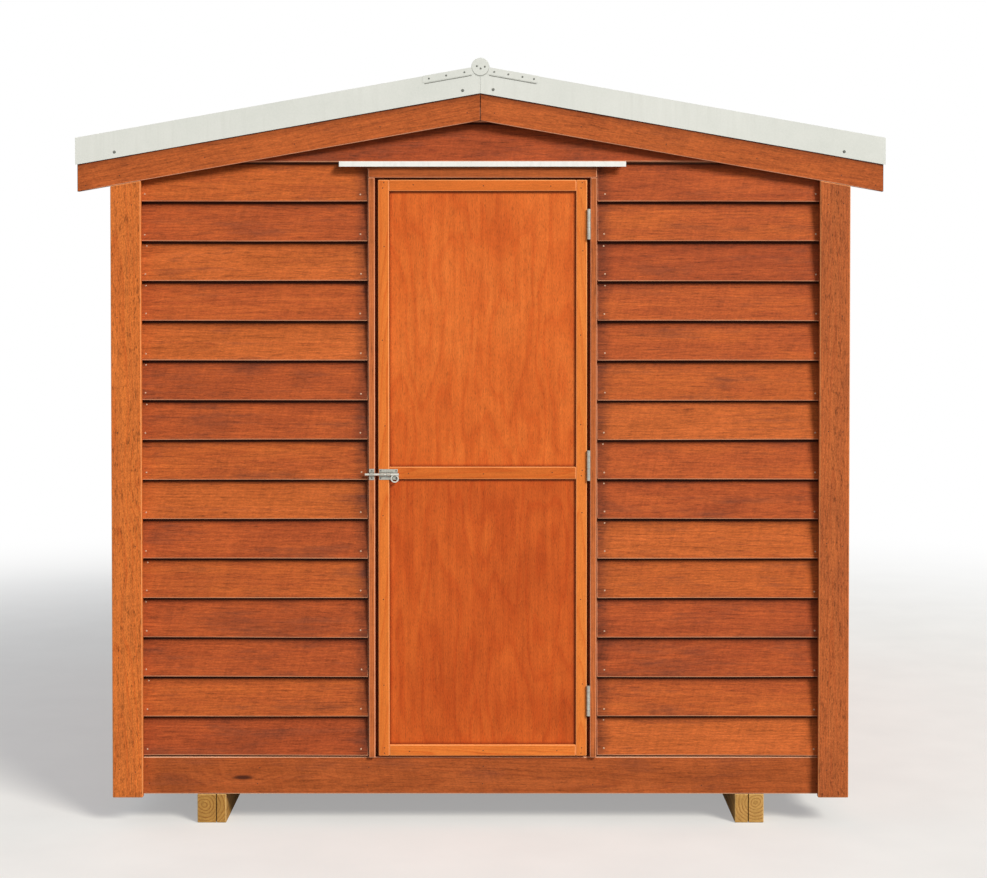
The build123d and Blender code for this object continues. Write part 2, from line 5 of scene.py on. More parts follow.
import bmesh
import bpy
from mathutils import Matrix, Vector, noise
from mathutils.bvhtree import BVHTree


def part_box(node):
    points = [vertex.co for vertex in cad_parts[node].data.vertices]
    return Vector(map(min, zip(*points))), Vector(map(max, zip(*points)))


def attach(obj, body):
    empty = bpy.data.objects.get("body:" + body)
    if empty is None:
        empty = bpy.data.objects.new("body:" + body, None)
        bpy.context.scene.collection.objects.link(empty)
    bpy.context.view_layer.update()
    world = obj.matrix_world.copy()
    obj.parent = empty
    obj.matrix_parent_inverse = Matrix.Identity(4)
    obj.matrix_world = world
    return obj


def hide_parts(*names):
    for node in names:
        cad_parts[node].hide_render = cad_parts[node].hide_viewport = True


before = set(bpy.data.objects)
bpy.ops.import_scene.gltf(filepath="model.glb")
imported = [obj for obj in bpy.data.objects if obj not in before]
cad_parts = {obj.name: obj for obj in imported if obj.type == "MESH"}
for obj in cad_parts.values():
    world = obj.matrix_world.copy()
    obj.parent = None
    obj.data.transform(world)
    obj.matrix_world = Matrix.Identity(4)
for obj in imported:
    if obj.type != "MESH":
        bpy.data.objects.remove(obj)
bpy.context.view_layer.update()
mm = 0.001
luck = random.Random(14)
print("frame loaded,", len(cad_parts), "nodes")


# Materials

def linear(hexColour):  # sRGB hex to the linear colour Blender works in
    parts = [int(hexColour[i:i + 2], 16) / 255 for i in (1, 3, 5)]
    return [p / 12.92 if p <= 0.04045 else ((p + 0.055) / 1.055) ** 2.4 for p in parts] + [1]


def addNode(tree, kind, links=None, **settings):
    # links: input name or number -> a socket to join to it, or a value to set on it
    node = tree.nodes.new("ShaderNode" + kind)
    for key, value in settings.items():
        setattr(node, key, value)
    for key, value in (links or {}).items():
        if isinstance(value, bpy.types.NodeSocket):
            tree.links.new(value, node.inputs[key])
        else:
            node.inputs[key].default_value = value
    return node


def newMaterial(name, **shaderValues):
    material = bpy.data.materials.new(name)
    material.use_nodes = True
    tree = material.node_tree
    tree.nodes.clear()
    shader = addNode(tree, "BsdfPrincipled", {k.replace("_", " "): v for k, v in shaderValues.items()})
    addNode(tree, "OutputMaterial", {"Surface": shader.outputs[0]})
    return material, tree, shader


def stretched(tree, place, scale, detail=3.0, roughness=0.55, offset=(0, 0, 0)):
    # noise pulled out along the grain: scale is patches per metre along, across and deep
    moved = addNode(tree, "Mapping", {"Vector": place, "Scale": scale, "Location": offset})
    return addNode(tree, "TexNoise", {"Vector": moved.outputs[0], "Scale": 1.0, "Detail": detail,
                                      "Roughness": roughness})


def weighted(tree, terms, start=0.0):
    # start + each (socket - middle) * weight, added up
    total = start
    for socket, middle, weight in terms:
        centred = addNode(tree, "Math", {0: socket, 1: -middle}, operation="ADD").outputs[0]
        total = addNode(tree, "Math", {0: centred, 1: weight, 2: total},
                        operation="MULTIPLY_ADD").outputs[0]
    return total


def joinUp(tree, shader, look, colour, gloss, height, relief):
    # relief: the depth in metres that a height of 1 stands for
    bump = addNode(tree, "Bump", {"Height": height, "Strength": look["bump"], "Distance": relief})
    tree.links.new(colour, shader.inputs["Base Color"])
    tree.links.new(gloss, shader.inputs["Roughness"])
    tree.links.new(bump.outputs[0], shader.inputs["Normal"])
    if "specular" in look:
        shader.inputs["Specular IOR Level"].default_value = look["specular"]


def fillRamp(node, stops):
    ramp = node.color_ramp
    while len(ramp.elements) < len(stops):
        ramp.elements.new(1.0)
    for element, (position, colour) in zip(ramp.elements, stops):
        element.position = position
        element.color = linear(colour) if isinstance(colour, str) else [colour] * 3 + [1]


def tinted(tree, look, colour, overlays):  # each overlay laid over the colour, as strongly as its socket says: stains, wear, and painted shade and highlight
    for amount, stain in overlays:
        colour = addNode(tree, "Mix", {0: amount, 6: colour, 7: linear(look[stain])},
                         data_type="RGBA").outputs[2]
    return colour


def ringed(tree, look, tone, late):  # the wood's own colour, darker in the late wood of each ring
    colour = addNode(tree, "ValToRGB", {0: tone})
    fillRamp(colour, look["tones"])
    amount = weighted(tree, [(late, 0.0, look["figure"])])
    return addNode(tree, "Mix", {0: amount, 6: colour.outputs[0], 7: linear(look["lateWood"])},
                   data_type="RGBA", blend_type="MULTIPLY").outputs[2]


# each kind of grain: patches to the metre along the tree, across it and into it, then detail, roughness,
# and how far it is moved, so that no two run together. Real fibres are under a millimetre wide and the
# grit of a saw cut finer still; these are 5 mm and 3 mm, so that they show from a few metres away
pineGrain = {
    "fibre": ((10, 210, 210), 4.0, 0.65, (0, 0, 0)),
    "streak": ((1.8, 55, 55), 4.0, 0.6, (3, 9, 2)),
    "cloud": ((4.5, 13, 13), 4.0, 0.65, (1, 5, 8)),
    "stroke": ((42, 240, 240), 3.0, 0.7, (8, 2, 5)),
    "grit": ((150, 330, 330), 2.0, 0.6, (5, 6, 1)),
    "blotch": ((3.2, 11, 11), 5.0, 0.7, (9, 1, 4)),
    "uneven": ((2.5, 30, 30), 2.0, 0.55, (7, 3, 1)),
}


def sawnPine(name, look):
    # pine sawn along the log: growth rings met at a slant, darker late wood, knots, and end grain
    material, tree, shader = newMaterial(name)
    place = addNode(tree, "Attribute", attribute_name="grainPlace").outputs["Vector"]
    board = addNode(tree, "Attribute", attribute_name="boardPlace").outputs["Vector"]
    arris = addNode(tree, "Attribute", attribute_name="arris").outputs["Fac"]
    fromLow, fromHigh, tone = addNode(tree, "SeparateXYZ", {0: board}).outputs[:]
    fibre, streak, cloud, stroke, grit, blotch, uneven = (
        stretched(tree, place, *kind).outputs["Fac"] for kind in pineGrain.values())
    # the saw's marks lean across the board
    leaning = addNode(tree, "Mapping", {"Vector": place, "Rotation": (0, 0, 0.25)}).outputs[0]
    sawing = stretched(tree, leaning, (120, 7, 7), 2.0, 0.5, (4, 4, 4)).outputs["Fac"]

    # the log is never straight: its heart wanders by a centimetre or two along the board
    wander = stretched(tree, place, (1.1, 4, 4), 2.0).outputs["Color"]
    bent = addNode(tree, "VectorMath", {0: wander, 1: [look["wander"]] * 3, 2: place},
                   operation="MULTIPLY_ADD").outputs[0]

    # knots, one every half metre or so, with the rings flowing round them
    knotPlace = addNode(tree, "Mapping", {"Vector": place, "Scale": (1.9, 8.5, 8.5)})
    knotCells = addNode(tree, "TexVoronoi", {"Vector": knotPlace.outputs[0], "Scale": 1.0})
    knotChance = addNode(tree, "SeparateColor", {0: knotCells.outputs["Color"]}).outputs[0]
    hasKnot = addNode(tree, "Math", {0: knotChance, 1: 1 - look["knots"]},
                      operation="GREATER_THAN").outputs[0]
    around = []
    for low, high, strength in ((0.0, 0.42, 0.022), (0.05, 0.10, 1.0)):
        near = addNode(tree, "MapRange", {"Value": knotCells.outputs["Distance"], "From Min": low,
                                          "From Max": high, "To Min": strength, "To Max": 0.0},
                       interpolation_type="SMOOTHSTEP").outputs[0]
        around.append(addNode(tree, "Math", {0: near, 1: hasKnot}, operation="MULTIPLY").outputs[0])
    push, knot = around

    # distance from the heart of the log gives the rings
    along, across, deep = addNode(tree, "SeparateXYZ", {0: bent}).outputs[:]
    flat = addNode(tree, "CombineXYZ", {1: across, 2: deep})
    radius = addNode(tree, "VectorMath", {0: flat.outputs[0]}, operation="LENGTH").outputs["Value"]
    radius = weighted(tree, [(along, 0.0, look["slant"])], radius)
    radius = addNode(tree, "Math", {0: radius, 1: push}, operation="ADD").outputs[0]
    ringCount = weighted(tree, [(radius, 0.0, 1 / look["ring"]), (uneven, 0.5, 1.1)])
    ring = addNode(tree, "Math", {0: ringCount}, operation="FRACT").outputs[0]
    late = addNode(tree, "ValToRGB", {0: ring})
    fillRamp(late, [(0.0, 0.2), (0.08, 0.0), (0.5, 0.08), (0.78, 0.5), (0.92, 1.0), (1.0, 0.3)])
    fading = addNode(tree, "MapRange", {"Value": streak, "From Min": 0.35, "From Max": 0.62,
                                        "To Min": 0.25}).outputs[0]
    late = addNode(tree, "Math", {0: late.outputs[0], 1: fading}, operation="MULTIPLY").outputs[0]

    # short dark flecks where the sawn fibres hold more stain
    fleck = stretched(tree, place, look["fleckSize"], 2.0, 0.5, (2, 2, 6)).outputs["Fac"]
    fleck = addNode(tree, "MapRange", {"Value": fleck, "From Min": 0.56, "From Max": 0.70}).outputs[0]

    # stain gathers by the sawn ends
    nearest = addNode(tree, "Math", {0: fromLow, 1: fromHigh}, operation="MINIMUM").outputs[0]
    nearest = weighted(tree, [(cloud, 0.5, 0.03), (streak, 0.5, 0.03)], nearest)
    ended = addNode(tree, "MapRange", {"Value": nearest, "From Min": 0.004, "From Max": look["endReach"],
                                       "To Min": 1.0, "To Max": 0.0},
                    interpolation_type="SMOOTHSTEP").outputs[0]

    # some stretches took the stain darker, and more so on a dark board
    dusky = weighted(tree, [(blotch, 0.5, 1.6), (streak, 0.5, 0.9), (tone, 0.5, -0.25)], 0.5)
    dusky = addNode(tree, "MapRange", {"Value": dusky, "From Min": 0.54, "From Max": 0.88,
                                       "To Max": look["dusk"]}).outputs[0]
    dusky = weighted(tree, [(ended, 0.0, look["endDusk"])], dusky)

    # painted shadow: near-black in the last few millimetres under a lap, fading out below it
    lapShadow = addNode(tree, "Attribute", attribute_name="underLap").outputs["Fac"]
    lapShadow = weighted(tree, [(streak, 0.5, 0.004), (cloud, 0.5, 0.004)], lapShadow)
    shadowFalloff = addNode(tree, "MapRange", {"Value": lapShadow, "From Min": 0.008, "From Max": 0.030, "To Min": 0.4,
                                       "To Max": 0.0}).outputs[0]
    lapShadow = addNode(tree, "MapRange", {"Value": lapShadow, "From Min": 0.006, "From Max": 0.013, "To Min": 0.96,
                                     "To Max": 0.0}, interpolation_type="SMOOTHSTEP").outputs[0]
    lapShadow = addNode(tree, "Math", {0: lapShadow, 1: shadowFalloff}, operation="MAXIMUM").outputs[0]
    lapShadow = addNode(tree, "Math", {0: lapShadow, 1: look["lapShadow"]}, operation="MULTIPLY").outputs[0]

    # the arrises are paler, partly wear and partly a painted highlight, but those of a joint between two
    # ends stay dark
    seam = addNode(tree, "Math", {0: ended, 1: arris}, operation="MULTIPLY").outputs[0]
    seam = addNode(tree, "Math", {0: seam, 1: look["seams"]}, operation="MULTIPLY").outputs[0]
    wornAndHighlit = weighted(tree, [(streak, 0.5, 1.2), (ended, 0.0, -look["seams"])], look["wearAndHighlight"])
    wornAndHighlit = addNode(tree, "Math", {0: wornAndHighlit, 1: arris}, operation="MULTIPLY", use_clamp=True).outputs[0]

    tone = weighted(tree, [(cloud, 0.5, look["patches"]), (streak, 0.5, 0.4)], tone)
    colour = ringed(tree, look, tone, late)
    colour = tinted(tree, look, colour, [(dusky, "duskColour")])
    value = weighted(tree, [(fibre, 0.5, look["fibre"]), (streak, 0.5, look["streak"]),
                            (cloud, 0.5, look["cloud"]), (stroke, 0.5, look["stroke"]),
                            (grit, 0.5, look["grit"]), (fleck, 0.0, -look["flecks"]),
                            (ended, 0.0, -look["ends"]), (sawing, 0.5, look["sawing"])], 1.0)
    colour = addNode(tree, "HueSaturation", {"Color": colour, "Value": value}).outputs[0]
    colour = tinted(tree, look, colour, [(knot, "knotColour"), (lapShadow, "lapShadowColour"), (seam, "seamColour"),
                                         (wornAndHighlit, "arrisWearAndHighlightColour")])
    gloss = weighted(tree, [(late, 0.5, -0.12), (fibre, 0.5, 0.25), (cloud, 0.5, 0.2)], look["roughness"])
    height = weighted(tree, [(late, 0.0, 0.35), (fibre, 0.5, 1.0), (sawing, 0.5, look["sawBump"]),
                             (knot, 0.0, 0.4)])
    joinUp(tree, shader, look, colour, gloss, height, 0.6 * mm)
    return material


# the same for ply, whose fibres are finer and whose mottle comes from sanding
plyGrain = {
    "swell": ((1.5, 6.5, 6.5), 2.5, 0.5, (0, 0, 0)),
    "fibre": ((16, 620, 620), 3.0, 0.6, (0, 0, 0)),
    "grit": ((130, 300, 300), 2.0, 0.6, (5, 6, 1)),
    "streak": ((2.4, 60, 60), 4.0, 0.6, (3, 9, 2)),
    "cloud": ((3.5, 5, 5), 4.0, 0.6, (1, 5, 8)),
    "mottle": ((22, 30, 30), 3.0, 0.6, (6, 5, 3)),
    "pore": ((70, 480, 480), 1.5, 0.5, (2, 2, 6)),
}


def peeledPly(name, look):
    # plywood face: veneer peeled round the log, so the rings open into long wandering contours
    material, tree, shader = newMaterial(name)
    place = addNode(tree, "Attribute", attribute_name="grainPlace").outputs["Vector"]
    board = addNode(tree, "Attribute", attribute_name="boardPlace").outputs["Vector"]
    arris = addNode(tree, "Attribute", attribute_name="arris").outputs["Fac"]
    tone = addNode(tree, "SeparateXYZ", {0: board}).outputs[2]
    swell, fibre, grit, streak, cloud, mottle, pore = (
        stretched(tree, place, *kind).outputs["Fac"] for kind in plyGrain.values())
    pore = addNode(tree, "MapRange", {"Value": pore, "From Min": 0.58, "From Max": 0.70}).outputs[0]

    along = addNode(tree, "SeparateXYZ", {0: place}).outputs[0]
    ringCount = weighted(tree, [(swell, 0.5, look["contours"]), (along, 0.0, 1.6)])
    ring = addNode(tree, "Math", {0: ringCount}, operation="FRACT").outputs[0]
    late = addNode(tree, "ValToRGB", {0: ring})
    fillRamp(late, [(0.0, 0.5), (0.12, 0.0), (0.5, 0.1), (0.9, 0.9), (1.0, 0.5)])
    late = late.outputs[0]

    colour = ringed(tree, look, weighted(tree, [(cloud, 0.5, 0.9), (streak, 0.5, 0.4)], tone), late)
    value = weighted(tree, [(fibre, 0.5, look["fibre"]), (streak, 0.5, look["streak"]),
                            (mottle, 0.5, look["mottle"]), (grit, 0.5, look["grit"]),
                            (pore, 0.0, -look["pores"])], 1.0)
    colour = addNode(tree, "HueSaturation", {"Color": colour, "Value": value}).outputs[0]
    # pale arrises, partly wear and partly a painted highlight
    wornAndHighlit = addNode(tree, "Math", {0: arris, 1: look["wearAndHighlight"]}, operation="MULTIPLY").outputs[0]
    # painted shade: darker where the ply meets the frame, from an ambient occlusion mask
    corner = addNode(tree, "AmbientOcclusion", {"Distance": 12 * mm}, samples=6).outputs["AO"]
    corner = addNode(tree, "MapRange", {"Value": corner, "From Min": 0.55, "From Max": 0.95,
                                        "To Min": 0.85, "To Max": 0.0}).outputs[0]
    colour = tinted(tree, look, colour, [(wornAndHighlit, "arrisWearAndHighlightColour"), (corner, "cornerShade")])

    gloss = weighted(tree, [(late, 0.5, -0.1), (mottle, 0.5, 0.3)], look["roughness"])
    height = weighted(tree, [(late, 0.0, 0.3), (fibre, 0.5, 0.8), (pore, 0.0, -0.6)])
    joinUp(tree, shader, look, colour, gloss, height, 0.4 * mm)
    return material


def coatedSteel(name, look):
    # rolled and coated sheet: a faint crystal spangle, rain streaks running down, dull in patches
    material, tree, shader = newMaterial(name, Metallic=look["metallic"])
    place = addNode(tree, "TexCoord").outputs["Object"]
    spangle = addNode(tree, "TexVoronoi", {"Vector": place, "Scale": look["spangle"]})
    crystal = addNode(tree, "SeparateColor", {0: spangle.outputs["Color"]}).outputs[0]
    cloud = addNode(tree, "TexNoise", {"Vector": place, "Scale": 5.0, "Detail": 4.0,
                                       "Roughness": 0.6}).outputs["Fac"]
    speck = addNode(tree, "TexNoise", {"Vector": place, "Scale": 160.0, "Detail": 3.0,
                                       "Roughness": 0.7}).outputs["Fac"]
    runs = addNode(tree, "Mapping", {"Vector": place, "Scale": look["runs"]}).outputs[0]
    runs = addNode(tree, "TexNoise", {"Vector": runs, "Scale": 1.0, "Detail": 4.0,
                                      "Roughness": 0.6}).outputs["Fac"]
    dirt = weighted(tree, [(runs, 0.5, 1.0), (cloud, 0.5, 0.8)], 0.5)
    dirt = addNode(tree, "MapRange", {"Value": dirt, "From Min": 0.50, "From Max": 0.85,
                                      "To Max": look["dirt"]}).outputs[0]
    tone = weighted(tree, [(crystal, 0.5, look["crystal"]), (cloud, 0.5, 0.9), (speck, 0.5, 0.5)], 0.5)
    colour = addNode(tree, "ValToRGB", {0: tone})
    fillRamp(colour, look["tones"])
    colour = tinted(tree, look, colour.outputs[0], [(dirt, "dirtColour")])
    if look["creviceShade"]:  # painted shade: darker in the corners, within a few millimetres, from an ambient occlusion mask
        corner = addNode(tree, "AmbientOcclusion", {"Distance": 7 * mm}, samples=8).outputs["AO"]
        corner = addNode(tree, "MapRange", {"Value": corner, "From Min": 0.35, "From Max": 0.85,
                                            "To Min": look["creviceShade"], "To Max": 0.0}).outputs[0]
        colour = tinted(tree, look, colour, [(corner, "creviceShadeColour")])

    gloss = weighted(tree, [(crystal, 0.5, 0.12), (cloud, 0.5, 0.3), (dirt, 0.0, 0.3)], look["roughness"])
    height = weighted(tree, [(speck, 0.5, 1.0), (cloud, 0.5, 4.0)])
    joinUp(tree, shader, look, colour, gloss, height, 0.4 * mm)
    return material


# every stained pine starts from these values; sizes are in metres, strengths from 0 up
pineLook = {
    "tones": [(0.0, "#91411F"), (0.3, "#AB5026"), (0.5, "#BA5A28"), (0.7, "#C06428"), (1.0, "#D06C30")],
    "patches": 0.7, "streak": 0.5, "cloud": 0.3,  # how the tone drifts over one board
    "ring": 0.0085, "slant": 0.020, "wander": 0.035,  # ring spacing, its slope, the heart's drift
    "lateWood": "#9A5230", "figure": 0.32,
    "fibre": 0.6, "stroke": 0.55, "grit": 0.5, "sawing": 0.3,
    "flecks": 0.25, "fleckSize": (14, 190, 190),  # how strong, and how many to the metre
    "knots": 0.12, "knotColour": "#4E2414",  # the part of the places for a knot that hold one
    "dusk": 0.7, "duskColour": "#6F3A28",
    "ends": 0.20, "endReach": 0.042, "endDusk": 0.0,  # stain by the sawn ends
    "lapShadow": 0.0, "lapShadowColour": "#2A0C04",  # painted shadow under the next board, and under the flashing
    "seams": 0.0, "seamColour": "#3A140A",  # a joint between two ends
    # pale arrises, partly wear and partly a painted highlight
    "wearAndHighlight": 0.55, "arrisWearAndHighlightColour": "#E08A55",
    "roughness": 0.6, "specular": 0.15, "sawBump": 0.8, "bump": 0.5,
}
# sawn pine under oil stain: dull, dark strokes along the grain, dark ends, pale edges that are partly wear
# and partly painted highlight, and painted shadow under each lap
weatherboardPine = sawnPine("stained_weatherboard_pine", dict(
    pineLook,
    tones=[(0.0, "#91411F"), (0.3, "#A94E27"), (0.5, "#B7582A"), (0.7, "#BF612B"), (1.0, "#CC6A33")],
    patches=0.5, stroke=1.1, grit=0.7, lapShadow=1.0, ends=0.22, endReach=0.060, endDusk=0.5, wearAndHighlight=0.65,
    arrisWearAndHighlightColour="#EDB08A"))
# planed boards under the same stain: evener, with more knots
trimPine = sawnPine("stained_trim_pine", dict(
    pineLook, tones=[(0.0, "#96471E"), (0.4, "#B15A2B"), (1.0, "#C56937")], ends=0.12, knots=0.3,
    dusk=0.5, ring=0.007, stroke=0.9, grit=0.7, wearAndHighlight=0.9, arrisWearAndHighlightColour="#F8C09A"))
# as the trim, with a painted shadow just under the flashing and dark joints where two boards meet
bargePine = sawnPine("stained_barge_pine", dict(
    pineLook, tones=[(0.0, "#9C4A20"), (0.4, "#B45A2A"), (1.0, "#C66832")], ends=0.12, knots=0.2,
    dusk=0.4, lapShadow=1.0, seams=0.95, endReach=0.09, stroke=1.0, grit=0.8, wearAndHighlight=0.9, arrisWearAndHighlightColour="#F6BE9C",
    ring=0.007))
# rough from the saw: short dark flecks all over, and a stronger relief
cornerPine = sawnPine("rough_sawn_corner_pine", dict(
    pineLook, tones=[(0.0, "#B35F31"), (0.5, "#C66C36"), (1.0, "#D87632")], lateWood="#D08A60",
    figure=0.45, flecks=0.45, fleckSize=(45, 190, 190), fibre=0.5, stroke=0.9, grit=1.2, sawing=0.3,
    dusk=0.25, patches=0.35, ends=0.08, knots=0.15, arrisWearAndHighlightColour="#F0A468", bump=0.8))
# planed and lightly stained: clear orange, a fine straight figure and a soft shine
doorPine = sawnPine("stained_door_pine", dict(
    pineLook, tones=[(0.0, "#D26A28"), (0.5, "#E47C33"), (1.0, "#EC8A3C")], lateWood="#D89058",
    figure=0.5, ring=0.005, fibre=0.3, streak=0.3, cloud=0.2, patches=0.3, stroke=0.25, flecks=0.12,
    ends=0.06, sawing=0.06, knots=0.1, dusk=0.15, duskColour="#B85A24", arrisWearAndHighlightColour="#FFB070", wearAndHighlight=0.6,
    roughness=0.5, bump=0.3))
# planed frame timber, between the door and the boards in tone
framePine = sawnPine("stained_door_frame_pine", dict(
    pineLook, tones=[(0.0, "#9A4A20"), (0.5, "#B65E2C"), (1.0, "#CE7440")], ring=0.005, figure=0.5,
    knots=0.1, patches=0.4, stroke=0.4, dusk=0.3, arrisWearAndHighlightColour="#F2AE88", wearAndHighlight=0.6))
# kiln-dried pine, straw coloured, with brown knots
barePine = sawnPine("bare_sawn_pine", dict(
    pineLook, patches=0.35, stroke=0.2, tones=[(0.0, "#B98A4C"), (0.5, "#CFA264"), (1.0, "#DDB67C")],
    lateWood="#C08A50", figure=0.8, fibre=0.3, streak=0.25, cloud=0.2, flecks=0.05, ends=0.10,
    sawing=0.15, knots=0.4, dusk=0.2, duskColour="#9A7440", knotColour="#6E3F1C", arrisWearAndHighlightColour="#E8C890",
    roughness=0.7, bump=0.6))
# pressure-treated pine: wide rings, green brown, dull
skidPine = sawnPine("treated_skid_pine", dict(
    pineLook, patches=0.35, stroke=0.3, tones=[(0.0, "#A97A3C"), (0.5, "#C2924C"), (1.0, "#D8AC68")],
    lateWood="#9C6A30", figure=0.9, ring=0.011, fibre=0.35, streak=0.3, cloud=0.3, flecks=0.1,
    ends=0.04, sawing=0.2, knots=0.3, dusk=0.3, duskColour="#8A6430", knotColour="#6B4018",
    arrisWearAndHighlightColour="#DDB878", roughness=0.75, bump=0.8))
# sanded ply under stain: broad soft figure, mottled, and darkest in the corners of the frame with painted
# shade
doorPly = peeledPly("stained_plywood", {
    "tones": [(0.0, "#B64C18"), (0.35, "#C95A20"), (0.7, "#DA6A28"), (1.0, "#E67A34")],
    "lateWood": "#D9936A", "figure": 0.32, "contours": 9.0, "fibre": 0.45, "streak": 0.25,
    "mottle": 0.25, "pores": 0.28, "grit": 0.5, "wearAndHighlight": 0.4, "arrisWearAndHighlightColour": "#EE9A5A", "roughness": 0.5,
    "specular": 0.18, "bump": 0.3, "cornerShade": "#5E220A"})
# bare sanded ply, evener and paler
floorPly = peeledPly("bare_plywood", {
    "tones": [(0.0, "#A97E48"), (0.5, "#C29A60"), (1.0, "#D3AE78")], "lateWood": "#B07C48",
    "figure": 0.6, "contours": 12.0, "fibre": 0.25, "streak": 0.25, "mottle": 0.15, "pores": 0.1,
    "grit": 0.3, "wearAndHighlight": 0.3, "arrisWearAndHighlightColour": "#E0C090", "roughness": 0.6, "specular": 0.3, "bump": 0.4,
    "cornerShade": "#8A6034"})
# every metal starts from these values: spangle is crystals to the metre, runs are rain streaks to the
# metre along X, Y and Z, dirt lies in them, and painted shade darkens the corners
sheetMetal = {"metallic": 0.0, "spangle": 300.0, "crystal": 0.02, "runs": (60.0, 60.0, 20.0), "dirt": 0.4,
              "roughness": 0.45, "bump": 0.1, "creviceShade": 0.0, "creviceShadeColour": "#171512"}
smallPart = dict(sheetMetal, spangle=500.0, crystal=0.15, runs=(150.0, 150.0, 40.0))
nailHead = dict(sheetMetal, spangle=900.0, crystal=0.1, runs=(200.0, 200.0, 80.0), dirt=0.5)
# crystals of 4 mm on dull grey zinc, which shines in patches
roofSteel = coatedSteel("ribbed_zinc_coated_steel", dict(
    sheetMetal, metallic=0.85, spangle=260.0, crystal=0.35, runs=(2.0, 90.0, 2.0), dirt=0.3,
    roughness=0.5, tones=[(0.0, "#868A87"), (0.5, "#9DA09D"), (1.0, "#B2B5B1")], dirtColour="#77766E"))
# smooth baked paint with a soft gloss
flashingSteel = coatedSteel("pale_prepainted_steel", dict(
    sheetMetal, runs=(60.0, 60.0, 4.0), dirt=0.15, roughness=0.38, bump=0.05,
    tones=[(0.0, "#CED3CD"), (0.5, "#DDE0DB"), (1.0, "#E8EAE6")], dirtColour="#A2A59A"))
whiteSteel = coatedSteel("white_prepainted_steel", dict(
    sheetMetal, dirt=0.25, roughness=0.35, bump=0.05,
    tones=[(0.0, "#E6E7E2"), (0.5, "#F2F3F0"), (1.0, "#F8F8F6")], dirtColour="#B4B4A8"))
# zinc plate, bright where fingers rub it and chalky where they don't; darker than the rod's zinc, partly
# weathering and partly painted shade on the hinges and the bolt's plates
dullZincWithShade = coatedSteel("weathered_zinc_plate_painted_shade", dict(
    smallPart, metallic=0.6, dirt=0.5, roughness=0.4, bump=0.15, creviceShade=0.9,
    tones=[(0.0, "#8C8C84"), (0.5, "#B6B6AC"), (1.0, "#D4D4CA")], dirtColour="#5E5C50"))
# a paler copy of the same zinc for the bolt's rod and the roofing screws: partly fresh plating, partly a
# painted highlight
zincPlateWithHighlight = coatedSteel("zinc_plated_steel_painted_highlight", dict(
    smallPart, metallic=0.4, dirt=0.3, roughness=0.3, bump=0.12, creviceShade=0.95,
    tones=[(0.0, "#BDBCB2"), (0.5, "#DBDAD0"), (1.0, "#EEEDE6")], dirtColour="#8A8672"))
# zinc-dipped heads stained with the boards; punched ones are dark discs at the surface, a painted shadow
# of the hole
nailSteel = coatedSteel("galvanised_nail_steel", dict(
    nailHead, metallic=0.3, tones=[(0.0, "#B08468"), (0.5, "#CBA588"), (1.0, "#DDC0A6")],
    dirtColour="#905C3C"))
nailHoleShade = coatedSteel("punched_nail_shade", dict(
    nailHead, roughness=0.8, tones=[(0.0, "#3A1A0C"), (0.5, "#4A2412"), (1.0, "#5A3018")],
    dirtColour="#2A1208"))
# screw heads and rivets in dark grey: painted shade, for the shadowed dots that they make
shadedScrewSteel = coatedSteel("screw_steel_painted_shade", dict(
    sheetMetal, metallic=0.1, spangle=600.0, crystal=0.05, runs=(150.0, 150.0, 60.0),
    tones=[(0.0, "#5C5E5A"), (0.5, "#747670"), (1.0, "#8A8C86")], dirtColour="#464640"))
# dark grey strips under the ridge cap's lips and round its end discs: painted shadow
shadowStripPaint = coatedSteel("roofing_shadow_strip", dict(
    sheetMetal, roughness=0.6, tones=[(0.0, "#5A5B55"), (0.5, "#74756E"), (1.0, "#8C8D86")],
    dirtColour="#44443E"))
print("materials made,", len(bpy.data.materials))


# Timber pieces

surfaces = {}  # what a nail or a screw can be driven into


def finishMesh(bm, name, material, body, nodes):
    surfaces[name] = BVHTree.FromBMesh(bm)
    mesh = bpy.data.meshes.new(name)
    bm.to_mesh(mesh)
    bm.free()
    mesh.materials.append(material)
    piece = bpy.data.objects.new(name, mesh)
    bpy.context.scene.collection.objects.link(piece)
    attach(piece, body)
    if nodes:
        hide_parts(*nodes)
    return piece


def boardsIn(bm):  # the separate boards of a mesh, each as its list of vertices
    found, seen = [], set()
    for first in bm.verts:
        if first in seen:
            continue
        seen.add(first)
        board, waiting = [], [first]
        while waiting:
            vert = waiting.pop()
            board.append(vert)
            for edge in vert.link_edges:
                other = edge.other_vert(vert)
                if other not in seen:
                    seen.add(other)
                    waiting.append(other)
        found.append(board)
    return found


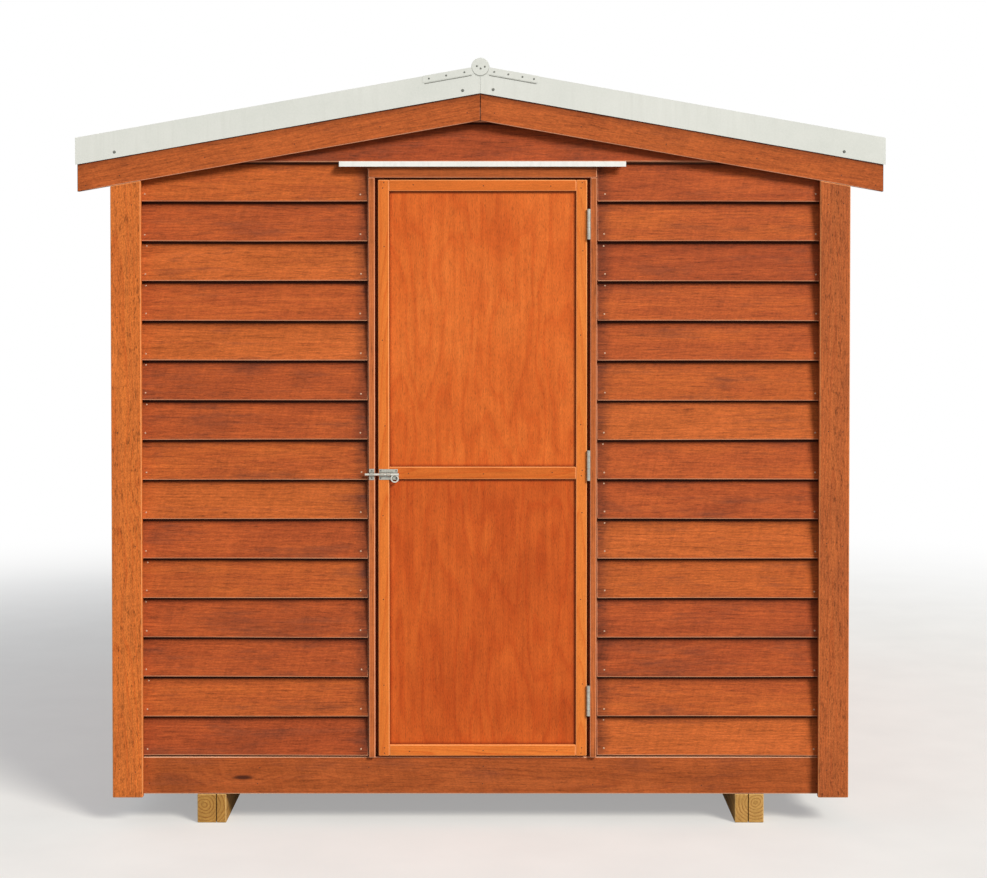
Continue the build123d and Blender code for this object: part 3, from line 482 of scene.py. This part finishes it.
def layGrain(bm, look, direction=None):
    # gives every board its own stretch of log: a place along, across and into the tree,
    # the distance from each of its ends, and a tone
    placeLayer = bm.verts.layers.float_vector.new("grainPlace")
    boardLayer = bm.verts.layers.float_vector.new("boardPlace")
    bm.verts.index_update()
    places = []  # from left to right, then upwards
    for board in boardsIn(bm):
        across, up = (sum(v.co[i] for v in board) / len(board) for i in (0, 2))
        places.append((round(across, 2), up, board))
    places.sort(key=lambda p: p[:2])
    for number, board in enumerate(p[2] for p in places):
        board.sort(key=lambda v: v.index)
        edges = list(dict.fromkeys(e for v in board for e in v.link_edges))
        faces = list(dict.fromkeys(f for v in board for f in v.link_faces))
        longest = max(edges, key=lambda e: round(e.calc_length(), 5))
        along = direction or (longest.verts[1].co - longest.verts[0].co).normalized()
        if along[max(range(3), key=lambda i: abs(along[i]))] < 0:
            along = -along
        widest = max(faces, key=lambda f: round(f.calc_area() * (1 - abs(f.normal.dot(along))), 6))
        deep = (widest.normal - along * widest.normal.dot(along)).normalized()
        across = deep.cross(along)
        spans = [[v.co.dot(axis) for v in board] for axis in (along, across, deep)]
        middles = [(min(s) + max(s)) / 2 for s in spans]
        width = max(spans[1]) - min(spans[1])
        shift = luck.uniform(0, 60)
        heartAcross = luck.uniform(-1, 1) * width * look["heartAcross"]
        heartDeep = luck.choice((-1, 1)) * luck.uniform(*look["heartDeep"])
        tone = look["tones"][number] if "tones" in look else luck.uniform(*look["tone"])
        for vert, a, c, d in zip(board, *spans):
            vert[placeLayer] = (a + shift, c - middles[1] + heartAcross, d - middles[2] + heartDeep)
            vert[boardLayer] = (a - min(spans[0]), max(spans[0]) - a, tone)


def roundArrises(bm, width, sharp=0.5):
    # sharp: the least angle in radians between two faces whose edge is rounded
    arrisLayer = bm.faces.layers.float.new("arris")
    edges = [e for e in bm.edges if e.is_manifold and e.calc_face_angle(0) > sharp]
    made = bmesh.ops.bevel(bm, geom=edges, offset=width, offset_type="OFFSET", segments=2, profile=0.5,
                           affect="EDGES", material=-1, clamp_overlap=True)
    for face in made["faces"]:
        face[arrisLayer] = 1.0


def crack(bm, places, width):  # drying splits that run right through, each across X
    for x in places:
        board = next(b for b in boardsIn(bm) if min(v.co.x for v in b) < x < max(v.co.x for v in b))
        whole = board + [part for part in bm.edges[:] + bm.faces[:] if part.verts[0] in board]
        twin = bmesh.ops.duplicate(bm, geom=whole)["geom"]
        for half, side in ((whole, 1), (twin, -1)):
            cut = bmesh.ops.bisect_plane(bm, geom=half, plane_co=(x + side * width / 2, 0, 0),
                                         plane_no=(side, 0, 0), clear_inner=True)
            rim = [e for e in cut["geom_cut"] if isinstance(e, bmesh.types.BMEdge)]
            bmesh.ops.holes_fill(bm, edges=rim)


# heartAcross is how far the log's heart is from a board's middle, as a part of its width, and heartDeep
# how far under its face in metres; a tone is drawn for each board, from 0, dark, to 1, pale
timbers = {"arris": 2 * mm, "weld": 0.02 * mm, "flat": 0.02,
           "heartAcross": 0.35, "heartDeep": (0.03, 0.11), "tone": (0.25, 0.75)}
# flashing and barge are the heights of those parts at the ridge; the third is added to the distance below
# the flashing that sets its painted shadow
roof = {"pitch": math.radians(10), "flashing": 88.5 * mm, "barge": 152.3 * mm, "drip": 4.5 * mm}
roofRise = math.tan(roof["pitch"])
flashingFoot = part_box("barge_flashings")[1].z - roof["flashing"]  # at the ridge
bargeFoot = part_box("barge_boards_front")[1].z - roof["barge"]


def downSlope(top, x):  # the height of a line that starts at top over the ridge and follows the roof
    return top - abs(x) * roofRise


def timber(name, nodes, material, slotName, body="shed", **changes):
    look = dict(timbers, **changes)
    bm = bmesh.new()
    for node in nodes:
        bm.from_mesh(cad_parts[node].data)
    bmesh.ops.remove_doubles(bm, verts=bm.verts, dist=look["weld"])
    bmesh.ops.dissolve_limit(bm, angle_limit=look["flat"], verts=bm.verts, edges=bm.edges)
    roundArrises(bm, look["arris"])
    layGrain(bm, look)
    if "cracks" in look:
        crack(bm, look["cracks"], look["crackWidth"])
    if "dripLine" in look:  # painted shadow: darkens the wood just under the flashing
        lapLayer = bm.verts.layers.float.new("underLap")
        for vert in bm.verts:
            vert[lapLayer] = downSlope(look["dripLine"], vert.co.x) - vert.co.z + roof["drip"]
    return finishMesh(bm, name, material, body, nodes)


timber("skid_timbers", ["skids"], skidPine, "bare_pine", arris=3 * mm, heartAcross=0.12,
       heartDeep=(0.004, 0.012), cracks=(-0.877, 0.889), crackWidth=3.5 * mm)
timber("joist_timbers", ["floor_joists"], barePine, "bare_pine")
timber("floor_board", ["floor_sheet"], floorPly, "floor_ply", arris=1 * mm)
for wall in ("front", "back", "left", "right"):
    timber(f"{wall}_wall_frame", [f"{wall}_wall_studs", f"{wall}_wall_plates"], barePine, "bare_pine")
timber("rafter_timbers", ["rafters"], barePine, "bare_pine")
timber("ridge_timber", ["ridge_board"], barePine, "bare_pine")
timber("purlin_timbers", ["purlins"], barePine, "bare_pine")
timber("fascia_timbers", ["fascia_boards"], trimPine, "trim_wood")
timber("front_base_board", ["base_board_front"], trimPine, "trim_wood", arris=3 * mm, tone=(0.3, 0.6))
timber("other_base_boards", ["base_boards"], trimPine, "trim_wood", arris=3 * mm)
timber("front_corner_boards", ["corner_boards_front"], cornerPine, "trim_wood", arris=3 * mm,
       tones=(0.85, 0.15))
timber("back_corner_boards", ["corner_boards_back"], cornerPine, "trim_wood", arris=3 * mm)
timber("side_corner_boards", ["corner_boards_sides"], cornerPine, "trim_wood", arris=3 * mm)
timber("front_barge_boards", ["barge_boards_front"], bargePine, "trim_wood", arris=1.5 * mm,
       dripLine=flashingFoot, tone=(0.5, 0.8))
timber("back_barge_boards", ["barge_boards_back"], bargePine, "trim_wood", arris=1.5 * mm,
       dripLine=flashingFoot)
timber("left_jamb", ["door_jamb_left"], framePine, "door_wood", arris=2.5 * mm, tone=(0.75, 0.95))
timber("right_jamb", ["door_jamb_right"], framePine, "door_wood", arris=2.5 * mm, tone=(0.6, 0.9))
timber("head_jamb", ["door_head"], framePine, "door_wood", arris=2.5 * mm, tone=(0.35, 0.5))
timber("door_stop_strips", ["door_stops"], framePine, "door_wood", arris=1 * mm, tone=(0.1, 0.3))
timber("door_stile_pair", ["door_stiles"], doorPine, "door_wood", "door", arris=2.5 * mm, tone=(0.4, 0.8))
timber("door_rail_set", ["door_rails"], doorPine, "door_wood", "door", arris=2.5 * mm,
       tones=(0.55, 0.1, 0.25))
timber("door_ply_sheets", ["door_panels"], doorPly, "door_ply", "door", arris=1 * mm, tones=(0.38, 0.72))
print("timber pieces made")


# Weatherboards, each a tapered board leaning on the one below
# cover is what shows of a board's width, and butt its thickness at the foot; bow is how far it bends
# in and out and its foot sags, with so many waves to the metre; short is the most cut off an end
boards = {"cover": 131 * mm, "width": 150 * mm, "butt": 18 * mm, "lean": 10 * mm, "arris": 3.5 * mm,
          "bow": 1.4 * mm, "bowWaves": 1.3, "sagWaves": 1.1, "step": 0.16, "short": 1.2 * mm,
          "blunt": 4 * mm, "heartAcross": 0.6, "heartDeep": (0.02, 0.10), "tone": (0.3, 0.8)}


def addBoard(bm, low, high, butt, top, wave, lapLayer):
    # a board from low to high along X, standing up from its butt, its back against the studs at Y 0
    # it starts as a cube of side 1, cut along and up; the corners of the boards before it are tagged
    bmesh.ops.create_cube(bm, size=1)
    cuts = max(1, round((high - low) / boards["step"]))
    for axis, count in ((0, cuts), (2, 2)):
        sides = [e for e in bm.edges if not e.verts[0].tag
                 and abs(e.verts[0].co[axis] - e.verts[1].co[axis]) > 0.5]
        bmesh.ops.subdivide_edges(bm, edges=sides, cuts=count, use_grid_fill=True)
    taper = boards["butt"] / boards["cover"]
    for vert in [v for v in bm.verts if not v.tag]:
        vert.tag = True
        up = (vert.co.z + 0.5) * (top - butt)
        outside = boards["lean"] + boards["butt"] - up * taper
        inside = boards["lean"] * (1 - up / boards["width"])
        x = low + (vert.co.x + 0.5) * (high - low)
        # the noise runs from about -0.5 to 0.5
        bend = boards["bow"] * noise.noise(Vector((x * boards["bowWaves"], wave, 0))) * 2
        sag = boards["bow"] * noise.noise(Vector((x * boards["sagWaves"], wave, 9))) * 2
        outer, foot = vert.co.y < 0, up < 10 * mm
        # distance below the next board's butt; the painted shadow under the lap is laid from it
        vert[lapLayer] = boards["cover"] - up
        vert.co = (x, -(outside + bend if outer else inside), butt + up + (sag if foot else 0))


def weatherboards(name, node, degrees, apex=None, tone=boards["tone"]):
    # made as a front wall, then turned about Z by the degrees
    low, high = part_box(node)
    turn = Matrix.Rotation(math.radians(degrees), 4, "Z")
    corners = [turn.inverted() @ Vector(c) for c in (low, high)]
    left, right = sorted(c.x for c in corners)
    studs = max(c.y for c in corners)
    bm = bmesh.new()
    lapLayer = bm.verts.layers.float.new("underLap")
    courses = math.ceil((high.z - low.z) / boards["cover"] - 0.001)
    for course in range(courses):
        butt = low.z + course * boards["cover"]
        top = min(butt + boards["width"], high.z)
        addBoard(bm, left + luck.uniform(0, boards["short"]), right - luck.uniform(0, boards["short"]),
                 butt, top, luck.uniform(0, 90), lapLayer)
    if apex:
        # both slopes, and a little off the point, which would be too thin to round
        for slope, drop in ((-roof["pitch"], 0), (roof["pitch"], 0), (0, boards["blunt"])):
            cut = bmesh.ops.bisect_plane(bm, geom=bm.verts[:] + bm.edges[:] + bm.faces[:],
                                         plane_co=(0, 0, apex - drop),
                                         plane_no=(math.sin(slope), 0, math.cos(slope)), clear_outer=True)
            rim = [e for e in cut["geom_cut"] if isinstance(e, bmesh.types.BMEdge)]
            bmesh.ops.holes_fill(bm, edges=rim)
    roundArrises(bm, boards["arris"], sharp=0.7)
    layGrain(bm, dict(boards, tone=tone), Vector((1, 0, 0)))
    bmesh.ops.translate(bm, verts=bm.verts, vec=(0, studs, 0))
    bmesh.ops.transform(bm, matrix=turn, verts=bm.verts)
    return finishMesh(bm, name, weatherboardPine, "shed", [node])


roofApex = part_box("cladding_back")[1].z
weatherboards("front_boards_left", "cladding_front_left", 0)
weatherboards("front_boards_right", "cladding_front_right", 0)
weatherboards("front_boards_gable", "cladding_front_gable", 0, roofApex, tone=(0.15, 0.35))
weatherboards("back_boards", "cladding_back", 180, roofApex)
weatherboards("left_boards", "cladding_left", -90)
weatherboards("right_boards", "cladding_right", 90)
print("weatherboards made")


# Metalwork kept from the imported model
finishes = {
    "roof_sheet_left": roofSteel, "roof_sheet_right": roofSteel,
    "ridge_cap": flashingSteel, "barge_flashings": flashingSteel, "door_head_flashing": whiteSteel,
    "hinge_leaves_frame": dullZincWithShade, "hinge_leaves_door": dullZincWithShade,
    "bolt_base": dullZincWithShade, "bolt_keeper": dullZincWithShade, "bolt_rod": zincPlateWithHighlight,
}
for node, material in finishes.items():
    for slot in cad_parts[node].material_slots:
        slot.material = material
    kept = bmesh.new()
    kept.from_mesh(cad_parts[node].data)
    surfaces[node] = BVHTree.FromBMesh(kept)
    kept.free()


# Nails, screws and rivets, each set square to the surface that it is driven into
# a head is a stack of discs in millimetres: from and to, off the surface, radius at the bottom and top
fixings = {
    "nail": {"discs": [(-1.5, 0.5, 2.8, 2.8), (0.5, 0.9, 2.8, 2.1)], "sides": 10, "metal": nailSteel},
    "punched": {"discs": [(-1.0, 0.15, 2.1, 1.9)], "sides": 8, "metal": nailHoleShade},
    "screw": {"discs": [(-0.5, 0.5, 5.2, 5.0), (0.5, 2.2, 3.6, 3.0)], "sides": 12, "metal": shadedScrewSteel},
    "hexScrew": {"discs": [(-0.5, 1.6, 8.0, 7.2), (1.6, 6.0, 4.8, 4.6)], "sides": 6, "metal": zincPlateWithHighlight},
    "rivet": {"discs": [(-0.3, 0.9, 3.4, 3.0), (0.9, 1.5, 3.0, 1.6)], "sides": 10, "metal": shadedScrewSteel},
    "countersunk": {"discs": [(-0.5, 0.3, 3.0, 2.8)], "sides": 10, "metal": shadedScrewSteel},
}
farOut, farUp = 1.6, 3.0  # metres from the middle and up, clear of every wall and of the roof


def driven(piece, x, z, facing=-1):  # a place square into the front, or into the back with facing 1
    return piece, (x, farOut * facing, z), (0, -facing, 0)


def fixingSet(name, kind, places, body="shed"):
    # places: (piece it is driven into, a point off its surface, the way it is driven)
    look = fixings[kind]
    bm = bmesh.new()
    for surface, start, way in places:
        spot, normal = surfaces[surface].ray_cast(Vector(start), Vector(way))[:2]
        if spot is None:
            continue
        stand = Matrix.Translation(spot) @ normal.to_track_quat("Z", "Y").to_matrix().to_4x4()
        stand = stand @ Matrix.Rotation(luck.uniform(0, 1), 4, "Z")
        for low, high, wide, narrow in look["discs"]:
            middle = Matrix.Translation((0, 0, (low + high) / 2 * mm))
            bmesh.ops.create_cone(bm, cap_ends=True, segments=look["sides"], radius1=wide * mm,
                                  radius2=narrow * mm, depth=(high - low) * mm, matrix=stand @ middle)
    return finishMesh(bm, name, look["metal"], body, [])


def jitter(reach=2.0):
    return luck.uniform(-reach, reach) * mm


def evenly(low, high, count, inset=0.0):
    low, high = low + inset, high - inset
    return [low + (high - low) * i / (count - 1) for i in range(count)]


# board nails: end is the distance from a board's end, hidden from an end that the corner board covers
nailing = {"end": 25 * mm, "hidden": 88 * mm, "low": 23 * mm, "high": 15 * mm, "twice": 0.35,
           "studs": {"left": 5, "right": 5, "back": 6}}
intoBoards = []
for side in ("left", "right"):
    low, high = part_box(f"cladding_front_{side}")
    ends = [nailing["hidden"], nailing["end"]] if side == "left" else [nailing["end"], nailing["hidden"]]
    for course in range(round((high.z - low.z) / boards["cover"])):
        butt = low.z + course * boards["cover"]
        for x in (low.x + ends[0], high.x - ends[1]):
            intoBoards.append(driven(f"front_boards_{side}", x + jitter(),
                                     butt + nailing["low"] + jitter()))
        if luck.random() < nailing["twice"]:  # a second nail, high on the board
            higher = butt + boards["cover"] - nailing["high"]
            intoBoards.append(driven(f"front_boards_{side}", low.x + ends[0] + jitter(5), higher))
for wall, way in (("back", (0, -1, 0)), ("left", (1, 0, 0)), ("right", (-1, 0, 0))):
    low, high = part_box(f"cladding_{wall}")
    across = 0 if wall == "back" else 1
    for course in range(math.ceil((high.z - low.z) / boards["cover"])):
        height = low.z + course * boards["cover"] + nailing["low"]
        for place in evenly(low[across], high[across], nailing["studs"][wall], nailing["hidden"]):
            start = [-farOut * way[0], -farOut * way[1], height + jitter()]
            start[across] = place + jitter(3)
            intoBoards.append((f"{wall}_boards", start, way))
fixingSet("weatherboard_nails", "nail", intoBoards)

# trim nails, punched below the surface and drawn as dark discs, a painted shadow of each hole, at a
# distance from the ends and edges
trimNailing = {"cornerFoot": 90 * mm, "cornerTop": 75 * mm, "cornerRows": 6,
               "cornerEdges": (22 * mm, 74 * mm), "baseEnd": 80 * mm, "baseColumns": 7, "baseLow": 32 * mm,
               "baseHigh": 34 * mm}
intoTrim = []
for end, facing in (("front", -1), ("back", 1)):
    low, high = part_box(f"corner_boards_{end}")
    for side in (-1, 1):
        foot, top = low.z + trimNailing["cornerFoot"], high.z - trimNailing["cornerTop"]
        for z in evenly(foot, top, trimNailing["cornerRows"]):
            for inset in trimNailing["cornerEdges"]:
                x = side * (high.x - inset)
                intoTrim.append(driven(f"{end}_corner_boards", x + jitter(4), z + jitter(6), facing))
low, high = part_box("base_board_front")
for x in evenly(low.x, high.x, trimNailing["baseColumns"], trimNailing["baseEnd"]):
    for z in (low.z + trimNailing["baseLow"], high.z - trimNailing["baseHigh"]):
        intoTrim.append(driven("front_base_board", x + jitter(10), z + jitter(4)))
fixingSet("trim_nails", "punched", intoTrim)

# barge nails: millimetres out from the ridge, and up from the board's lower edge
bargeNailing = ((44, 33), (330, 36), (610, 28), (905, 36), (1185, 30), (1296, 16))
intoBarge = []
for end, facing in (("front", -1), ("back", 1)):
    for side in (-1, 1):
        for out, lift in bargeNailing:
            intoBarge.append(driven(f"{end}_barge_boards", side * out * mm + jitter(),
                                    downSlope(bargeFoot, out * mm) + lift * mm + jitter(), facing))
fixingSet("barge_nails", "punched", intoBarge)

# door nails, through the stiles into the rails and through both into the ply
doorNailing = {"edge": 18 * mm, "midRail": 1.165, "pair": (-9 * mm, 9 * mm), "stileEnd": 230 * mm,
               "stileRows": 6, "railEnd": 110 * mm, "railColumns": 3}
low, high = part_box("door_stiles")
intoDoor = []
railHeights = [low.z + doorNailing["edge"], doorNailing["midRail"], high.z - doorNailing["edge"]]
for x in (low.x + doorNailing["edge"], high.x - doorNailing["edge"]):
    for z in railHeights:
        intoDoor += [driven("door_stile_pair", x + jitter(3), z + lift) for lift in doorNailing["pair"]]
    for z in evenly(low.z, high.z, doorNailing["stileRows"], doorNailing["stileEnd"]):
        intoDoor.append(driven("door_stile_pair", x + jitter(5), z + jitter(12)))
for z in railHeights:
    for x in evenly(low.x, high.x, doorNailing["railColumns"], doorNailing["railEnd"]):
        intoDoor.append(driven("door_rail_set", x + jitter(12), z + jitter(3)))
fixingSet("door_nails", "punched", intoDoor, "door")

# flashing screws near the eaves and the ridge, rivets through the turned-down lips of the ridge cap
# millimetres along from the ridge; screwUp is from the flashing's foot, lipDown from the fold of a lip
ridgeFixings = {"fold": 26 * mm, "screws": (-1200, -58, 42, 1193), "screwUp": 19,
                "lipRivets": (-168, -112, -52, 46, 92, 138, 176), "lipDown": 12,
                "discRivets": ((-11, 27), (15, 29), (1, 35))}
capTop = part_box("ridge_cap")[1].z
lipFold = capTop - ridgeFixings["fold"]
intoFlashing, intoCap = [], []
for facing in (-1, 1):
    for x in ridgeFixings["screws"]:
        z = downSlope(flashingFoot, x * mm) + ridgeFixings["screwUp"] * mm
        intoFlashing.append(driven("barge_flashings", x * mm, z, facing))
    for x in ridgeFixings["lipRivets"]:
        z = downSlope(lipFold, x * mm) - ridgeFixings["lipDown"] * mm
        intoCap.append(driven("ridge_cap", x * mm, z, facing))
    for x, down in ridgeFixings["discRivets"]:
        intoCap.append(driven("ridge_end_discs", x * mm, capTop - down * mm, facing))
fixingSet("flashing_screws", "screw", intoFlashing)

# a disc closes each end of the roll, and dark strips under it and under the lips are painted shadow
endDisc = {"radius": 28.4 * mm, "thick": 1.2 * mm, "down": 29 * mm, "sides": 32, "arris": 0.3 * mm}
shadow_strip = {"radius": 29 * mm, "down": 30.2 * mm, "proud": 0.9 * mm, "underLip": 26.5 * mm,
           "thick": 2.2 * mm, "reach": 184 * mm, "arris": 0.3 * mm}


def roundPlate(bm, y, z, radius, thick):  # on the ridge line, facing along Y
    place = Matrix.Translation((0, y, z)) @ Matrix.Rotation(math.radians(90), 4, "X")
    bmesh.ops.create_cone(bm, cap_ends=True, segments=endDisc["sides"], radius1=radius, radius2=radius,
                          depth=thick, matrix=place)


flashingFace = -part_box("barge_flashings")[0].y
bm = bmesh.new()
for facing in (-1, 1):
    for side in (-1, 1):
        length = (shadow_strip["reach"] - shadow_strip["radius"]) / math.cos(roof["pitch"])
        middle = (shadow_strip["reach"] + shadow_strip["radius"]) / 2
        place = Matrix.Translation((side * middle, facing * flashingFace,
                                    downSlope(lipFold, middle) - shadow_strip["underLip"]))
        place = place @ Matrix.Rotation(side * roof["pitch"], 4, "Y")
        size = Matrix.Diagonal((length, 2 * shadow_strip["proud"], shadow_strip["thick"], 1))
        bmesh.ops.create_cube(bm, size=1, matrix=place @ size)
    roundPlate(bm, facing * flashingFace, capTop - shadow_strip["down"], shadow_strip["radius"],
               2 * shadow_strip["proud"])
roundArrises(bm, shadow_strip["arris"])
finishMesh(bm, "ridge_shadow_strip", shadowStripPaint, "shed", [])
bm = bmesh.new()
for facing in (-1, 1):
    roundPlate(bm, facing * (flashingFace + endDisc["thick"] / 2), capTop - endDisc["down"],
               endDisc["radius"], endDisc["thick"])
roundArrises(bm, endDisc["arris"])
finishMesh(bm, "ridge_end_discs", flashingSteel, "shed", [])

# roofing screws on every second rib over each purlin, rivets along the edges of the ridge cap
roofFixings = {"ribs": 26, "lastRib": 1.465, "purlins": (660 * mm, 1255 * mm), "capEdge": 172 * mm}
ribs = evenly(-roofFixings["lastRib"], roofFixings["lastRib"], roofFixings["ribs"])[1:-1:2]
intoRoof = []
for side, node in ((-1, "roof_sheet_left"), (1, "roof_sheet_right")):
    for out in roofFixings["purlins"]:
        intoRoof += [(node, (side * out, y, farUp), (0, 0, -1)) for y in ribs]
    intoCap += [("ridge_cap", (side * roofFixings["capEdge"], y, farUp), (0, 0, -1)) for y in ribs]
fixingSet("roofing_screws", "hexScrew", intoRoof)
fixingSet("ridge_cap_rivets", "rivet", intoCap)

# hinge and bolt screws: a hinge screw starts between the two leaves and goes into one of them
# between is that gap in X and the middle of a leaf in Y; leaf is millimetres up and back from there
hardware = {"between": (0.3565, -1.4685), "hingeEnd": 50 * mm, "middleHinge": 1.190,
            "leaf": ((-36, 6), (-12, -6), (12, 6), (36, -6)), "keeperEnd": 6 * mm, "boltEdge": 5 * mm}
intoJamb, intoStile = [], []
for node, way, places in (("hinge_leaves_frame", 1, intoJamb), ("hinge_leaves_door", -1, intoStile)):
    low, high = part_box(node)
    for middle in (low.z + hardware["hingeEnd"], hardware["middleHinge"], high.z - hardware["hingeEnd"]):
        for up, back in hardware["leaf"]:
            x, y = hardware["between"]
            places.append((node, (x, y + back * mm, middle + up * mm), (way, 0, 0)))
low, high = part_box("bolt_keeper")
for z in (low.z + hardware["keeperEnd"], high.z - hardware["keeperEnd"]):
    intoJamb.append(driven("bolt_keeper", (low.x + high.x) / 2, z))
low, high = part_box("bolt_base")
for x in (low.x + hardware["boltEdge"], high.x - hardware["boltEdge"]):
    for z in (low.z + hardware["boltEdge"], high.z - hardware["boltEdge"]):
        intoStile.append(driven("bolt_base", x, z))
fixingSet("frame_hardware_screws", "countersunk", intoJamb)
fixingSet("door_hardware_screws", "countersunk", intoStile, "door")
print("fixings made")


# Floor, light and camera
# metres, degrees and watts; the floor turns white between fadeFrom and fadeTo
stage = {"floorSize": 60, "floorLow": "#E4E4E0", "floorHigh": "#ECECE8", "floorBounce": "#8C8C86",
         "fadeFrom": 2.4, "fadeTo": 6.5, "lampAim": (0, -1.5, 1.1), "lampDistance": 60, "lampAcross": 40,
         "lampUp": 34, "lampSize": 21, "lampPower": 38000, "lampColour": "#FFFAF2", "sky": 0.38,
         "skyColour": "#F4F8FF", "eye": (0.043, -8.0, 1.82), "tilt": 1.281, "lens": 72.19, "rise": -0.1219}

# matt paint on a level floor
floorPaint, tree, shader = newMaterial("pale_studio_floor", Roughness=0.85)
place = addNode(tree, "TexCoord").outputs["Object"]
grit = addNode(tree, "TexNoise", {"Vector": place, "Scale": 3.0, "Detail": 5.0}).outputs["Fac"]
ramp = addNode(tree, "ValToRGB", {0: grit})
fillRamp(ramp, [(0.3, stage["floorLow"]), (0.7, stage["floorHigh"])])
ray = addNode(tree, "LightPath").outputs
seen = addNode(tree, "Math", {0: ray["Is Camera Ray"], 1: ray["Is Glossy Ray"]},
               operation="MAXIMUM").outputs[0]
# the floor that lights the shed from below is darker than the one that is seen
paint = addNode(tree, "Mix", {0: seen, 6: linear(stage["floorBounce"]), 7: ramp.outputs[0]},
                data_type="RGBA")
tree.links.new(paint.outputs[2], shader.inputs["Base Color"])
reach = addNode(tree, "VectorMath", {0: place}, operation="LENGTH").outputs["Value"]
fade = addNode(tree, "MapRange", {"Value": reach, "From Min": stage["fadeFrom"],
                                  "From Max": stage["fadeTo"], "To Min": 0.35},
               interpolation_type="SMOOTHSTEP").outputs[0]
glow = addNode(tree, "Emission", {"Color": linear("#FFFFFF"), "Strength": 1.0})
fade = addNode(tree, "Math", {0: fade, 1: seen}, operation="MULTIPLY").outputs[0]
mixed = addNode(tree, "MixShader", {0: fade, 1: shader.outputs[0], 2: glow.outputs[0]})
tree.links.new(mixed.outputs[0], tree.nodes["Material Output"].inputs["Surface"])
bm = bmesh.new()
bmesh.ops.create_circle(bm, cap_ends=True, segments=96, radius=stage["floorSize"] / 2)
floorMesh = bpy.data.meshes.new("studio_floor")
bm.to_mesh(floorMesh)
bm.free()
floorMesh.materials.append(floorPaint)
floorPiece = bpy.data.objects.new("studio_floor", floorMesh)
bpy.context.scene.collection.objects.link(floorPiece)

lamp = bpy.data.lights.new("key_lamp", "AREA")
lamp.shape = "DISK"
lamp.size = stage["lampSize"]
lamp.energy = stage["lampPower"]
lamp.color = linear(stage["lampColour"])[:3]
across, up = math.radians(stage["lampAcross"]), math.radians(stage["lampUp"])
away = Vector((math.sin(across) * math.cos(up), -math.cos(across) * math.cos(up), math.sin(up)))
lampHolder = bpy.data.objects.new("key_lamp", lamp)
lampHolder.location = Vector(stage["lampAim"]) + away * stage["lampDistance"]
lampHolder.rotation_euler = away.to_track_quat("Z", "Y").to_euler()
bpy.context.scene.collection.objects.link(lampHolder)

world = bpy.data.worlds.new("studio_world")
bpy.context.scene.world = world
world.use_nodes = True
tree = world.node_tree
tree.nodes.clear()
ray = addNode(tree, "LightPath").outputs
seen = addNode(tree, "Math", {0: ray["Is Camera Ray"], 1: ray["Is Glossy Ray"]},
               operation="MAXIMUM").outputs[0]
seen = addNode(tree, "Math", {0: seen, 1: ray["Is Transmission Ray"]}, operation="MAXIMUM").outputs[0]
sky = addNode(tree, "Background", {"Color": linear(stage["skyColour"]), "Strength": stage["sky"]})
white = addNode(tree, "Background", {"Color": linear("#FFFFFF"), "Strength": 1.0})
blend = addNode(tree, "MixShader", {0: seen, 1: sky.outputs[0], 2: white.outputs[0]})
addNode(tree, "OutputWorld", {"Surface": blend.outputs[0]})

lens = bpy.data.cameras.new("camera")
lens.sensor_width = 36
lens.lens = stage["lens"]
lens.shift_y = stage["rise"]
camera = bpy.data.objects.new("camera", lens)
camera.location = stage["eye"]
camera.rotation_euler = (math.radians(90 - stage["tilt"]), 0, 0)
bpy.context.scene.collection.objects.link(camera)
bpy.context.scene.camera = camera
bpy.context.scene.view_settings.view_transform = "Standard"

print("stage set")
